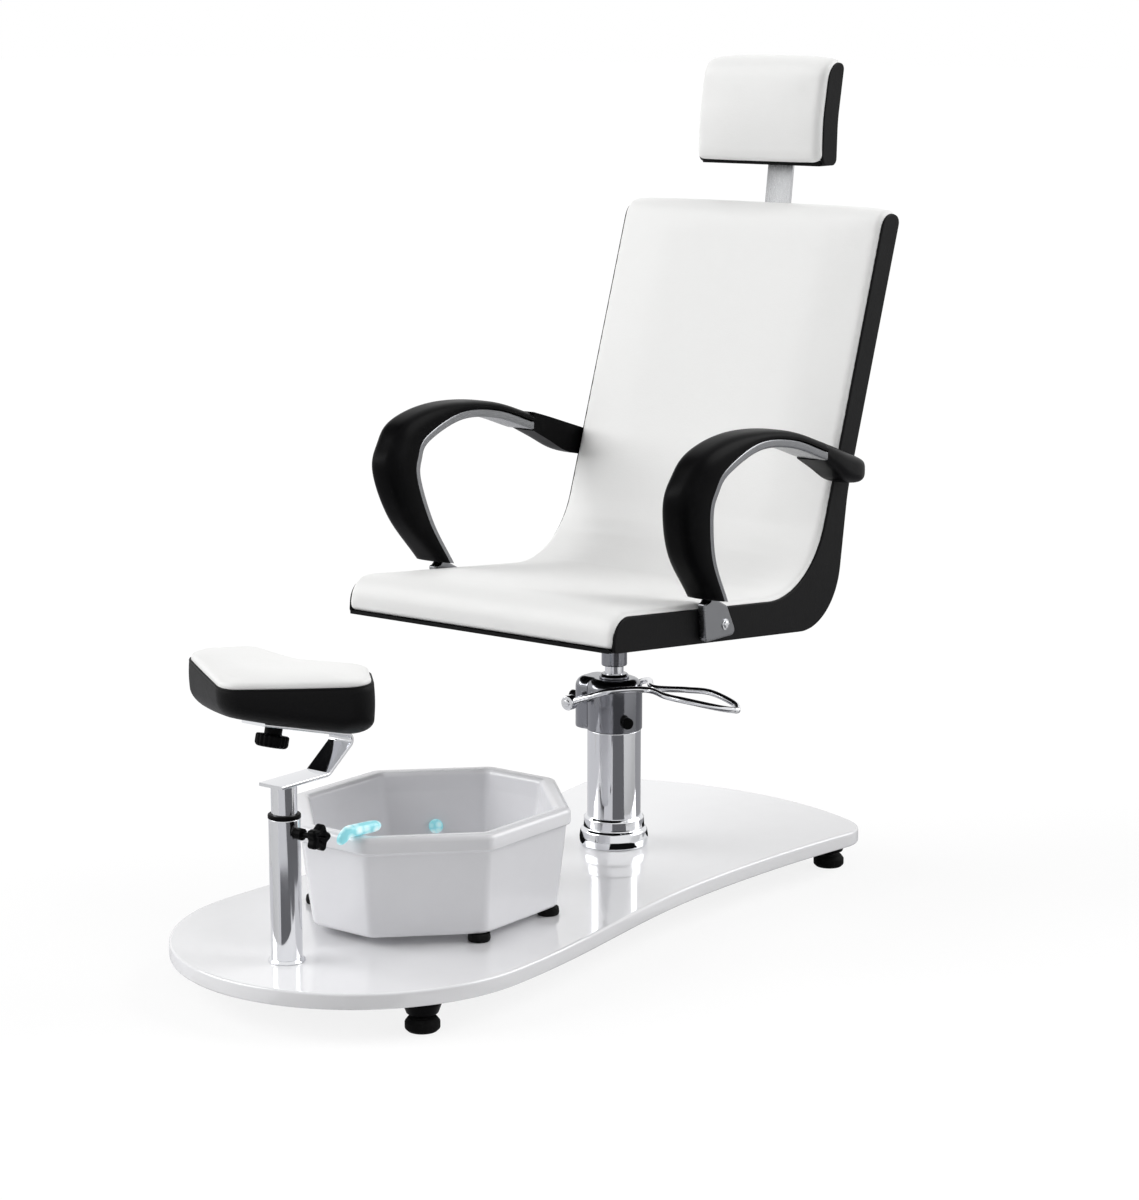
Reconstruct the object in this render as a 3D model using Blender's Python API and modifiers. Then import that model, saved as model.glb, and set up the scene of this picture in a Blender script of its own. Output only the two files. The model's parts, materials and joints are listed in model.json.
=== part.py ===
"""Pedicure chair: a waisted base plate with a hydraulic column, an L-shaped padded seat with hoop
arms, a headrest on a flat bar, a footrest on a telescopic post and a loose octagonal foot bath.

Metres, +Z up. The sitter faces -Y and the sitter's left is +X. Places below are written with the
column's axis at X = Y = 0 and the floor at Z = 0. The root empty moves the whole along Y, so that
the origin ends up under the middle of the chair's plan.
"""
import math

import bmesh
import bpy
import numpy as np
from mathutils import Matrix, Vector

# Clearance between pieces that seat on each other
GAP = 0.0003

# Base plate: a round nose, a waist at the column and a flared tail
PLATE_TOP = 0.072
PLATE_THICK = 0.024
PLATE_EDGE = 0.003
NOSE_RADIUS = 0.284
NOSE_Y = -0.611
WAIST_HALF = 0.243
WAIST_Y = -0.100
TAIL_HALF = 0.281
TAIL_CORNER_Y = 0.322
TAIL_CORNER_ROUND = 0.050
TAIL_Y = 0.402

# Levelling feet: a socket under the plate and a glide whose stud screws into it
FRONT_FOOT = (0.210, -0.732)
REAR_FOOT = (0.214, 0.310)
SOCKET_TOP_RADIUS = 0.028
SOCKET_FOOT_RADIUS = 0.021
SOCKET_HEIGHT = 0.022
STUD_RADIUS = 0.005
GLIDE_RADIUS = 0.025
GLIDE_HEIGHT = 0.020
GLIDE_EDGE = 0.007
STUD_LENGTH = 0.024

# Hydraulic column
COLUMN_RADIUS = 0.043
COLUMN_WALL = 0.003
COLLAR_RADIUS = 0.0555
COLLAR_HEIGHT = 0.048
BARREL_RADIUS = 0.027
BARREL_BORE = 0.021
HEAD_BOTTOM = 0.262
HEAD_HEIGHT = 0.083
HEAD_RADIUS = 0.045
HEAD_LOBE_REACH = 0.064
HEAD_LOBE_HALF = 0.034
HEAD_EDGE = 0.010
RAM_RADIUS = 0.015
RAM_BOTTOM = 0.100
RAM_TOP = 0.424
PISTON_HEIGHT = 0.014
BUSH_RADIUS = 0.024
BUSH_HEIGHT = 0.007

# Foot lever: one bent rod from hub to hub, on an axle across the pump head's lobe
AXLE_X = -0.046
AXLE_Z = 0.308
AXLE_RADIUS = 0.006
HUB_RADIUS = 0.012
HUB_LENGTH = 0.014
LEVER_HALF = 0.058
LEVER_ROD = 0.005
LEVER_RISE = 0.028
LEVER_TIP_DROP = 0.012
LEVER_NECK_X = 0.072
LEVER_NECK_HALF = 0.009
LEVER_LOOP_HALF = 0.036
LEVER_TIP_X = 0.238

# Seat mount under the shell
MOUNT_SIZE = (0.220, 0.200)
MOUNT_THICK = 0.006
MOUNT_HUB_RADIUS = 0.020
MOUNT_HUB_REACH = 0.058

# Seat: the underside runs back, bends up into a lumbar stretch and leans back above it
SEAT_WIDTH = 0.512
SEAT_FRONT_Y = -0.352
SEAT_ABOVE_RAM = 0.051
SEAT_TILT = math.radians(5.5)
SEAT_DEPTH = 0.604
SEAT_BEND_RADIUS = 0.105
LUMBAR_LEAN = math.radians(9.0)
LUMBAR_RISE = 0.223
LUMBAR_BEND_RADIUS = 0.300
BACK_LEAN = math.radians(18.7)
BACK_RISE = 0.455
SEAT_PAD = 0.058
BACK_PAD = 0.052
INNER_BEND_RADIUS = 0.150
FRONT_ROUND = 0.036
TOP_ROUND = 0.020
SHELL_THICK = 0.010
SHELL_DROP = 0.022
SIDE_THICK = 0.006
SIDE_EDGE = 0.002
CUSHION_CROWN = 0.012
CUSHION_EDGE = 0.003
CROWN_RUN = 0.060

# Arms: a steel hoop with a moulded pad on its outer side
ARM_CENTRE = 0.032
HOOP_WIDTH = 0.046
HOOP_THICK = 0.014
ARM_PAD_WIDTH = 0.062
# Arm places in the YZ plane are measured from a point this far ahead of and below the seat's heel
ARM_AHEAD = 0.2492
ARM_BELOW = 0.4171
# Foot plate on the seat's side from its lower front corner round: Y, Z; its top runs into the hoop
ARM_FOOT_CORNERS = (
    (-0.132, 0.458), (-0.050, 0.458), (-0.080, 0.531), (-0.119, 0.531), (-0.1225, 0.5205), (-0.138, 0.517))
ARM_FOOT_THICK = 0.013
ARM_BOLT_RADIUS = 0.006
ARM_BOLT = (-0.082, 0.478)
# Inner edge of the hoop from foot to rear end: Y, Z, degrees of the outward side, pad thickness and
# how far the arm leans in towards the seat
HOOP_STATIONS = (
    (-0.110, 0.520, 172.0, 0.028, 0.022),
    (-0.152, 0.590, 164.0, 0.048, 0.016),
    (-0.172, 0.660, 172.0, 0.056, 0.007),
    (-0.143, 0.719, 134.0, 0.040, 0.000),
    (-0.060, 0.745, 100.0, 0.015, 0.000),
    (0.030, 0.738, 80.0, 0.012, 0.000),
    (0.125, 0.709, 90.0, 0.014, 0.000),
)
# Rear bracket of an arm along Y: Y, lower Z, upper Z, depth in X
ARM_BRACKET_SECTIONS = (
    (0.000, 0.700, 0.739, 0.056),
    (0.045, 0.677, 0.727, 0.054),
    (0.090, 0.660, 0.713, 0.050),
    (0.130, 0.653, 0.699, 0.044),
    (0.152, 0.657, 0.691, 0.034),
    (0.164, 0.666, 0.682, 0.018),
)

# Headrest on its bar
HEADREST_WIDTH = 0.246
HEADREST_AHEAD = 0.039
HEADREST_ABOVE = 0.0737
HEADREST_DEPTH = 0.053
HEADREST_LOWER_RISE = 0.073
HEADREST_UPPER_RISE = 0.095
HEADREST_LOWER_LEAN = math.radians(2.0)
HEADREST_UPPER_LEAN = math.radians(11.0)
HEADREST_BEND_RADIUS = 0.250
HEADREST_HEEL_ROUND = 0.010
HEADREST_TOP_ROUND = 0.024
HEADREST_REAR_ROUND = 0.018
HEADREST_SHELL = 0.008
HEADREST_SHELL_DROP = 0.020
HEADREST_CROWN = 0.010
HEADREST_RUN = 0.030
BAR_WIDTH = 0.050
BAR_THICK = 0.006
BAR_LEAN = math.radians(8.0)
BAR_STANDOFF = 0.026
BAR_BELOW = 0.150
BAR_ABOVE = 0.175
GUIDE_WIDTH = 0.066
GUIDE_HEIGHT = 0.070
GUIDE_DROP = 0.030
GUIDE_WALL = 0.004
BLOCK_WIDTH = 0.080
BLOCK_HEIGHT = 0.070
BLOCK_TOP_DROP = 0.006

# Footrest post, its slider and the clamp
POST_Y = -0.779
POST_RADIUS = 0.0225
POST_WALL = 0.0025
POST_TOP = 0.281
RING_RADIUS = 0.0265
RING_HEIGHT = 0.005
POST_BUSH_HEIGHT = 0.006
SLIDER_RADIUS = 0.0185
SLIDER_WALL = 0.002
SLIDER_BOTTOM = 0.128
SLIDER_TOP = 0.3287
CLAMP_Z = 0.262
CLAMP_BOSS_RADIUS = 0.0085
CLAMP_BOSS_LENGTH = 0.012
CLAMP_SCREW_RADIUS = 0.004
STAR_REACH = 0.056
STAR_RADIUS = 0.0170
STAR_LOBE = 0.16
STAR_LOBES = 5
STAR_THICK = 0.015
STAR_EDGE = 0.003

# Footrest bracket: a flat strip bent twice, and the pad above it
STRIP_WIDTH = 0.044
STRIP_THICK = 0.005
STRIP_BEND_RADIUS = 0.009
STRIP_FRONT = 0.027
STRIP_FLAT = 0.072
STRIP_RUN = 0.062
STRIP_LIFT = 0.045
STRIP_TOP_LENGTH = 0.200
STRIP_TOP_SLOPE = math.radians(15.0)
# Pad places along Y are measured from the post's axis
PAD_STUD = -0.017
PAD_APEX = -0.123
PAD_TIP = (0.181, -0.009)
PAD_REAR = (0.113, 0.059)
PAD_NOTCH = 0.035
PAD_ROUNDS = (0.040, 0.030, 0.030, 0.090)
PAD_CENTRE = -0.024
PAD_TOP_Z = 0.484
PAD_SADDLE = 0.003
PAD_REAR_LIFT = 0.008
PAD_TURN = 0.020
PAD_KEEL_SCALE = 0.78
PAD_KEEL_RISE = 0.010
PAD_RIM_SCALE = 0.97
PAD_TRAY_DEPTH = 0.014
PAD_CROWN = 0.018
PAD_KNOB_RADIUS = 0.023
PAD_KNOB_STEM_RADIUS = 0.0125
PAD_KNOB_STEM = 0.010
PAD_KNOB_HEIGHT = 0.018
PAD_STUD_RADIUS = 0.004
PAD_STUD_DEPTH = 0.018

# Foot bath: an elongated octagon with a thick rolled rim
BATH_Y = -0.459
BATH_HALF = (0.192, 0.223)
BATH_CUT = 0.130
BATH_CORNER_ROUND = 0.018
BATH_FOOT_HEIGHT = 0.012
BATH_HEIGHT = 0.154
BATH_TAPER = 0.014
BATH_LIP_INSET = 0.006
BATH_RIM_HEIGHT = 0.024
BATH_RIM_WIDTH = 0.024
BATH_WALL_LEAN = 0.022
BATH_FLOOR_THICK = 0.012
BATH_FLOOR_ROUND = 0.012
BATH_EDGE = 0.003
BATH_FOOT_RADIUS = 0.017
BATH_FOOT_INSET = (0.035, 0.1415)
LAMP_RADIUS = 0.011
LAMP_THICK = 0.006
LAMP_Z = 0.154
LIGHT_BAR_SIZE = (0.080, 0.018, 0.018)
LIGHT_BAR_TURN = math.radians(78.0)
LIGHT_BAR_FROM_CORNER = 0.019

# Colour, roughness and metallic value of each finish
FINISHES = {
    "white_lacquer": ("F1F1F1", 0.12, 0.0),
    "white_vinyl": ("EDEDEC", 0.42, 0.0),
    "black_vinyl": ("1B1B1C", 0.45, 0.0),
    "black_plastic": ("121213", 0.38, 0.0),
    "black_rubber": ("151515", 0.70, 0.0),
    "chrome": ("D8D9DB", 0.08, 1.0),
    "steel_grey": ("8C8D8F", 0.35, 1.0),
    "cast_metal": ("6A6B6E", 0.25, 1.0),
    "bronze": ("8A6A3C", 0.35, 1.0),
    "white_plastic": ("E6E6E8", 0.20, 0.0),
    "cyan_lens": ("7FE0EA", 0.15, 0.0),
}

OBJECT_NAME = "pedicure_chair"
SIDES = (("left", 1), ("right", -1))
YZ_PLANE = (math.pi / 2, 0.0, math.pi / 2)


def seat_direction(angle_from_y):
    """Unit vector (Y, Z) at an angle above +Y."""
    return np.array([math.cos(angle_from_y), math.sin(angle_from_y)])


def left_normal(direction):
    """The direction turned a quarter turn towards the sitter's side of the seat."""
    return np.array([-direction[1], direction[0]])


# Seat corner points in the YZ plane, worked out from the driving sizes
SEAT_RUN = seat_direction(-SEAT_TILT)
LUMBAR_RUN = seat_direction(math.pi / 2 - LUMBAR_LEAN)
BACK_RUN = seat_direction(math.pi / 2 - BACK_LEAN)
SEAT_FRONT = np.array([SEAT_FRONT_Y, RAM_TOP + SEAT_ABOVE_RAM])
SEAT_HEEL = SEAT_FRONT + SEAT_DEPTH * SEAT_RUN
LUMBAR_TOP = SEAT_HEEL + LUMBAR_RISE * LUMBAR_RUN
BACK_TOP = LUMBAR_TOP + BACK_RISE * BACK_RUN
SHELL_END = BACK_TOP - SHELL_DROP * BACK_RUN
SEAT_SIDE_X = SEAT_WIDTH / 2
ARM_ORIGIN = SEAT_HEEL - np.array([ARM_AHEAD, ARM_BELOW])

# The headrest bar stands off the top of the back
BAR_RUN = seat_direction(math.pi / 2 - BAR_LEAN)
BAR_POINT = BACK_TOP + np.array([BAR_STANDOFF, 0.0])
BAR_TOP = BAR_POINT + BAR_ABOVE * BAR_RUN

# Plan centre: the nose of the plate to the rear edge of the bar's top
FRONT_REACH = NOSE_Y - NOSE_RADIUS
REAR_REACH = BAR_TOP[0] + BAR_THICK / 2 * math.cos(BAR_LEAN)
PLAN_SHIFT = -(FRONT_REACH + REAR_REACH) / 2

# Footrest strip corner points in the YZ plane
STRIP_SEAT_Z = SLIDER_TOP + GAP + STRIP_THICK / 2
STRIP_KNEE = np.array([POST_Y + STRIP_FLAT, STRIP_SEAT_Z])
STRIP_ELBOW = STRIP_KNEE + np.array([STRIP_RUN, STRIP_LIFT])
STRIP_TOP_RUN = seat_direction(math.pi - STRIP_TOP_SLOPE)
STRIP_TOP_NORMAL = np.array([math.sin(STRIP_TOP_SLOPE), math.cos(STRIP_TOP_SLOPE)])
STUD_POINT = STRIP_ELBOW + STRIP_TOP_RUN * (STRIP_ELBOW[0] - POST_Y - PAD_STUD) / math.cos(STRIP_TOP_SLOPE)
KEEL_POINT = STUD_POINT + STRIP_TOP_NORMAL * (STRIP_THICK / 2 + GAP)

BATH_BOTTOM = PLATE_TOP + BATH_FOOT_HEIGHT
BATH_TOP = BATH_BOTTOM + BATH_HEIGHT
HEAD_TOP = HEAD_BOTTOM + HEAD_HEIGHT

PARTS = None
CUTTERS = None
MATERIALS = {}
GROUPS = {}


def clear_scene():
    for obj in list(bpy.data.objects):
        bpy.data.objects.remove(obj, do_unlink=True)


def new_collection(name):
    collection = bpy.data.collections.new(name)
    bpy.context.scene.collection.children.link(collection)
    return collection


def linear(hex_colour):
    """sRGB hex to the linear colour a shader takes."""
    values = [int(hex_colour[i:i + 2], 16) / 255 for i in (0, 2, 4)]
    return [v / 12.92 if v <= 0.04045 else ((v + 0.055) / 1.055) ** 2.4 for v in values] + [1.0]


def make_materials():
    for name, (colour, roughness, metallic) in FINISHES.items():
        material = bpy.data.materials.new(name)
        material.use_nodes = True
        shader = material.node_tree.nodes["Principled BSDF"]
        shader.inputs["Base Color"].default_value = linear(colour)
        shader.inputs["Roughness"].default_value = roughness
        shader.inputs["Metallic"].default_value = metallic
        MATERIALS[name] = material


def joint_empty(name, parent, point):
    """Empty on a joint's axis; pieces of the moving body hang from it."""
    empty = bpy.data.objects.new(name, None)
    empty.empty_display_size = 0.05
    PARTS.objects.link(empty)
    origin = Vector((0.0, 0.0, 0.0))
    if parent is not None:
        empty.parent, origin = GROUPS[parent]
    empty.location = Vector(point) - origin
    GROUPS[name] = (empty, Vector(point))


def attach(obj, finish, group):
    """Give a finished piece its material and hang it from its body's empty."""
    PARTS.objects.link(obj)
    obj.data.materials.append(MATERIALS[finish])
    obj.parent, point = GROUPS[group]
    obj.location = obj.location - point
    return obj


def mesh_object(name, bm, location=(0.0, 0.0, 0.0)):
    bmesh.ops.recalc_face_normals(bm, faces=bm.faces)
    mesh = bpy.data.meshes.new(name)
    bm.to_mesh(mesh)
    bm.free()
    mesh.shade_smooth()
    mesh.set_sharp_from_angle(angle=math.radians(35))
    obj = bpy.data.objects.new(name, mesh)
    obj.location = location
    return obj


def add_bevel(obj, width, segments=2):
    bevel = obj.modifiers.new("rounded_edges", "BEVEL")
    bevel.width = width
    bevel.segments = segments
    bevel.use_clamp_overlap = False
    bevel.limit_method = "ANGLE"
    bevel.angle_limit = math.radians(50)
    return obj


def turned(name, profile, centre=(0.0, 0.0), steps=40, closed=True):
    """Revolve a profile of (radius, z) that runs down its outer side."""
    count = len(profile)
    edges = [(i, i + 1) for i in range(count - 1)]
    if closed:
        edges.append((count - 1, 0))
    mesh = bpy.data.meshes.new(name)
    mesh.from_pydata([(r, 0.0, z) for r, z in profile], edges, [])
    obj = bpy.data.objects.new(name, mesh)
    obj.location = (centre[0], centre[1], 0.0)
    screw = obj.modifiers.new("revolve", "SCREW")
    screw.steps = steps
    screw.render_steps = steps
    screw.use_merge_vertices = True
    screw.merge_threshold = 0.00001
    return obj


def ring_profile(outer, inner, bottom, top):
    return [(outer, top), (outer, bottom), (inner, bottom), (inner, top)]


def rod(name, start, end, radius, segments=24):
    """Round bar between two points."""
    start, end = Vector(start), Vector(end)
    along = end - start
    turn = along.to_track_quat("Z", "Y").to_matrix().to_4x4()
    bm = bmesh.new()
    bmesh.ops.create_cone(
        bm, cap_ends=True, segments=segments, radius1=radius, radius2=radius, depth=along.length,
        matrix=Matrix.Translation((start + end) / 2) @ turn)
    return mesh_object(name, bm)


def block(name, size, centre, rotation=(0.0, 0.0, 0.0)):
    bm = bmesh.new()
    bmesh.ops.create_cube(bm, size=1.0, matrix=Matrix.Diagonal((*size, 1.0)))
    obj = mesh_object(name, bm, centre)
    obj.rotation_euler = rotation
    return obj


def flat_outline(name, points, thickness, edge=0.0, location=(0.0, 0.0, 0.0), rotation=(0.0, 0.0, 0.0)):
    """Closed outline filled and extruded about its own plane, with a rounded edge if given."""
    curve = bpy.data.curves.new(name, "CURVE")
    curve.dimensions = "2D"
    curve.fill_mode = "BOTH"
    curve.extrude = thickness / 2 - edge
    curve.bevel_depth = edge
    curve.bevel_resolution = 1
    curve.offset = -edge
    spline = curve.splines.new("POLY")
    spline.points.add(len(points) - 1)
    for target, (u, v) in zip(spline.points, points):
        target.co = (u, v, 0.0, 1.0)
    spline.use_cyclic_u = True
    obj = bpy.data.objects.new(name, curve)
    obj.location = location
    obj.rotation_euler = rotation
    return obj


def bent_rod(name, points, radius):
    """Round wire along points, with closed ends."""
    curve = bpy.data.curves.new(name, "CURVE")
    curve.dimensions = "3D"
    curve.bevel_depth = radius
    curve.bevel_resolution = 2
    curve.use_fill_caps = True
    spline = curve.splines.new("POLY")
    spline.points.add(len(points) - 1)
    for target, point in zip(spline.points, points):
        target.co = (*point, 1.0)
    return bpy.data.objects.new(name, curve)


def as_mesh(curve_object):
    """Mesh copy of a curve object, with its caps welded, so that it can be cut and joined."""
    name = curve_object.name
    CUTTERS.objects.link(curve_object)
    bpy.context.view_layer.update()
    evaluated = curve_object.evaluated_get(bpy.context.evaluated_depsgraph_get())
    mesh = bpy.data.meshes.new_from_object(evaluated)
    bm = bmesh.new()
    bm.from_mesh(mesh)
    bmesh.ops.remove_doubles(bm, verts=bm.verts, dist=0.00001)
    matrix = curve_object.matrix_world.copy()
    bpy.data.objects.remove(curve_object, do_unlink=True)
    obj = mesh_object(name, bm)
    obj.matrix_world = matrix
    return obj


def combine(obj, other, operation):
    """Boolean with a helper solid that stands in the same place in the world."""
    CUTTERS.objects.link(other)
    root, _ = GROUPS["chair"]
    other.parent = root
    other.hide_render = True
    other.display_type = "WIRE"
    boolean = obj.modifiers.new(operation.lower(), "BOOLEAN")
    boolean.operation = operation
    boolean.object = other
    return obj


def cut(obj, other):
    return combine(obj, other, "DIFFERENCE")


def join(obj, other):
    return combine(obj, other, "UNION")


def loft(name, rings):
    """Skin closed rings of equal point counts and close both ends."""
    bm = bmesh.new()
    rows = [[bm.verts.new(p) for p in ring] for ring in rings]
    for lower, upper in zip(rows, rows[1:]):
        for i in range(len(lower)):
            j = (i + 1) % len(lower)
            bm.faces.new((lower[i], lower[j], upper[j], upper[i]))
    bm.faces.new(rows[0])
    bm.faces.new(rows[-1])
    return mesh_object(name, bm)


def corner_arc(before, corner, after, radius, steps):
    """Points of the arc that rounds one corner of a polyline."""
    before, corner, after = (np.asarray(p, float) for p in (before, corner, after))
    to_before = (before - corner) / np.linalg.norm(before - corner)
    to_after = (after - corner) / np.linalg.norm(after - corner)
    half = 0.5 * math.acos(float(np.clip(to_before @ to_after, -1.0, 1.0)))
    middle = to_before + to_after
    centre = corner + middle / np.linalg.norm(middle) * radius / math.sin(half)
    first = corner + to_before * radius / math.tan(half) - centre
    last = corner + to_after * radius / math.tan(half) - centre
    start = math.atan2(first[1], first[0])
    sweep = math.atan2(first[0] * last[1] - first[1] * last[0], first @ last)
    angles = start + sweep * np.linspace(0.0, 1.0, steps + 1)
    return centre + radius * np.stack([np.cos(angles), np.sin(angles)], 1)


def rounded_chain(corners, radii, steps=8):
    """Open polyline whose inner corners are rounded."""
    points = [np.atleast_2d(corners[0])]
    for before, corner, after, radius in zip(corners, corners[1:], corners[2:], radii):
        points.append(corner_arc(before, corner, after, radius, steps))
    points.append(np.atleast_2d(corners[-1]))
    return np.concatenate(points)


def rounded_loop(corners, radii, steps=4):
    """Closed polygon with every corner rounded."""
    count = len(corners)
    return np.concatenate([
        corner_arc(corners[i - 1], corners[i], corners[(i + 1) % count], radii[i], steps)
        for i in range(count)])


def offset_chain(points, distance):
    """Open polyline moved sideways, to its left, by a distance or a distance for each point."""
    steps = np.gradient(points, axis=0)
    steps /= np.linalg.norm(steps, axis=1)[:, None]
    normals = np.stack([-steps[:, 1], steps[:, 0]], 1)
    return points + normals * np.broadcast_to(distance, len(points))[:, None]


def crossing(point_a, run_a, point_b, run_b):
    """Where two lines in a plane meet."""
    along, _ = np.linalg.solve(np.stack([run_a, -run_b], 1), point_b - point_a)
    return point_a + along * run_a


def smooth_rows(rows, samples):
    """Catmull-Rom curve through table rows, with a number of samples to each span."""
    rows = np.asarray(rows, float)
    padded = np.concatenate([2 * rows[:1] - rows[1:2], rows, 2 * rows[-1:] - rows[-2:-1]])
    t = np.linspace(0.0, 1.0, samples, endpoint=False)[:, None]
    spans = []
    for a, b, c, d in zip(padded, padded[1:], padded[2:], padded[3:]):
        spans.append(0.5 * (2 * b + (c - a) * t + (2 * a - 5 * b + 4 * c - d) * t ** 2
                            + (3 * b - 3 * c + d - a) * t ** 3))
    return np.concatenate(spans + [rows[-1:]])


def at_x(points, x):
    """YZ points as 3D points at one X."""
    return [(x, y, z) for y, z in points]


def plate_outline():
    """Right half from nose to tail, then its mirror."""
    turn = np.linspace(-math.pi / 2, 0.0, 20)
    nose = np.stack([NOSE_RADIUS * np.cos(turn), NOSE_Y + NOSE_RADIUS * np.sin(turn)], 1)
    t = np.linspace(0.0, 1.0, 14)[1:]
    fade = 0.5 + 0.5 * np.cos(math.pi * t)
    flank = np.stack([WAIST_HALF + (NOSE_RADIUS - WAIST_HALF) * fade, NOSE_Y + (WAIST_Y - NOSE_Y) * t], 1)
    t = np.linspace(0.0, 1.0 - TAIL_CORNER_ROUND / (TAIL_CORNER_Y - WAIST_Y), 10)[1:]
    flare = np.stack([WAIST_HALF + (TAIL_HALF - WAIST_HALF) * t ** 2,
                      WAIST_Y + (TAIL_CORNER_Y - WAIST_Y) * t], 1)
    sagitta = TAIL_Y - TAIL_CORNER_Y
    tail_radius = (TAIL_HALF ** 2 + sagitta ** 2) / (2 * sagitta)
    x = np.linspace(TAIL_HALF - TAIL_CORNER_ROUND, 0.0, 10)
    tail = np.stack([x, TAIL_Y - tail_radius + np.sqrt(tail_radius ** 2 - x ** 2)], 1)
    corner = np.array([TAIL_HALF, TAIL_CORNER_Y])
    t = np.linspace(0.0, 1.0, 8)[1:-1, None]
    turn_in = flare[-1] * (1 - t) ** 2 + corner * 2 * t * (1 - t) + tail[0] * t ** 2
    half = np.concatenate([nose, flank, flare, turn_in, tail])
    mirrored = half[-2:0:-1] * np.array([-1.0, 1.0])
    return np.concatenate([half, mirrored])


def build_base():
    plate = flat_outline("base_plate", plate_outline(), PLATE_THICK, PLATE_EDGE,
                         (0.0, 0.0, PLATE_TOP - PLATE_THICK / 2))
    attach(plate, "white_lacquer", "chair")
    underside = PLATE_TOP - PLATE_THICK - GAP
    socket_foot = underside - SOCKET_HEIGHT
    bore = STUD_RADIUS + GAP
    for place, (x, y) in (("front", FRONT_FOOT), ("rear", REAR_FOOT)):
        for side, sign in SIDES:
            centre = (sign * x, y)
            socket = turned(f"foot_socket_{place}_{side}", [
                (SOCKET_TOP_RADIUS, underside), (SOCKET_TOP_RADIUS, underside - SOCKET_HEIGHT / 3),
                (SOCKET_FOOT_RADIUS, socket_foot), (bore, socket_foot), (bore, underside)], centre, 20)
            attach(socket, "black_plastic", "chair")
            group = f"glide_{place}_{side}"
            joint_empty(group, "chair", (*centre, 0.0))
            glide = turned(f"foot_glide_{place}_{side}", [
                (0.0, GLIDE_HEIGHT + STUD_LENGTH), (STUD_RADIUS, GLIDE_HEIGHT + STUD_LENGTH),
                (STUD_RADIUS, GLIDE_HEIGHT), (GLIDE_RADIUS - GLIDE_EDGE, GLIDE_HEIGHT),
                (GLIDE_RADIUS - GLIDE_EDGE * 0.3, GLIDE_HEIGHT - GLIDE_EDGE * 0.3),
                (GLIDE_RADIUS, GLIDE_HEIGHT - GLIDE_EDGE), (GLIDE_RADIUS, GLIDE_EDGE),
                (GLIDE_RADIUS - GLIDE_EDGE, 0.0), (0.0, 0.0)], centre, 20, closed=False)
            attach(glide, "black_rubber", group)


def head_outline():
    """Plan of the pump head: a round body with a lobe for the lever's axle."""
    meet = math.pi - math.asin(HEAD_LOBE_HALF / HEAD_RADIUS)
    angles = np.linspace(-meet, meet, 33)
    body = HEAD_RADIUS * np.stack([np.cos(angles), np.sin(angles)], 1)
    lobe_round = HEAD_LOBE_HALF * 0.7
    top, bottom = body[-1], body[0]
    corners = [top, (-HEAD_LOBE_REACH, HEAD_LOBE_HALF), (-HEAD_LOBE_REACH, -HEAD_LOBE_HALF), bottom]
    lobe = rounded_chain(corners, [lobe_round, lobe_round], 5)
    return np.concatenate([body, lobe[1:-1]])


def lever_path():
    """Half of the lever's rod from a hub to the loop's tip, then its mirror back to the other hub."""
    rise = AXLE_Z + LEVER_RISE
    half = smooth_rows([
        (AXLE_X, -LEVER_HALF, AXLE_Z),
        (0.0, -LEVER_HALF, AXLE_Z + LEVER_RISE * 0.6),
        (0.45 * LEVER_NECK_X, -0.85 * LEVER_HALF, rise),
        (LEVER_NECK_X, -LEVER_NECK_HALF, rise),
        (0.70 * LEVER_NECK_X + 0.30 * LEVER_TIP_X, -0.80 * LEVER_LOOP_HALF, rise),
        (0.45 * LEVER_NECK_X + 0.55 * LEVER_TIP_X, -LEVER_LOOP_HALF, rise),
        (0.12 * LEVER_NECK_X + 0.88 * LEVER_TIP_X, -0.55 * LEVER_LOOP_HALF, rise - 0.6 * LEVER_TIP_DROP),
        (LEVER_TIP_X, 0.0, rise - LEVER_TIP_DROP),
    ], 4)
    return np.concatenate([half, half[-2::-1] * np.array([1.0, -1.0, 1.0])])


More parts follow.
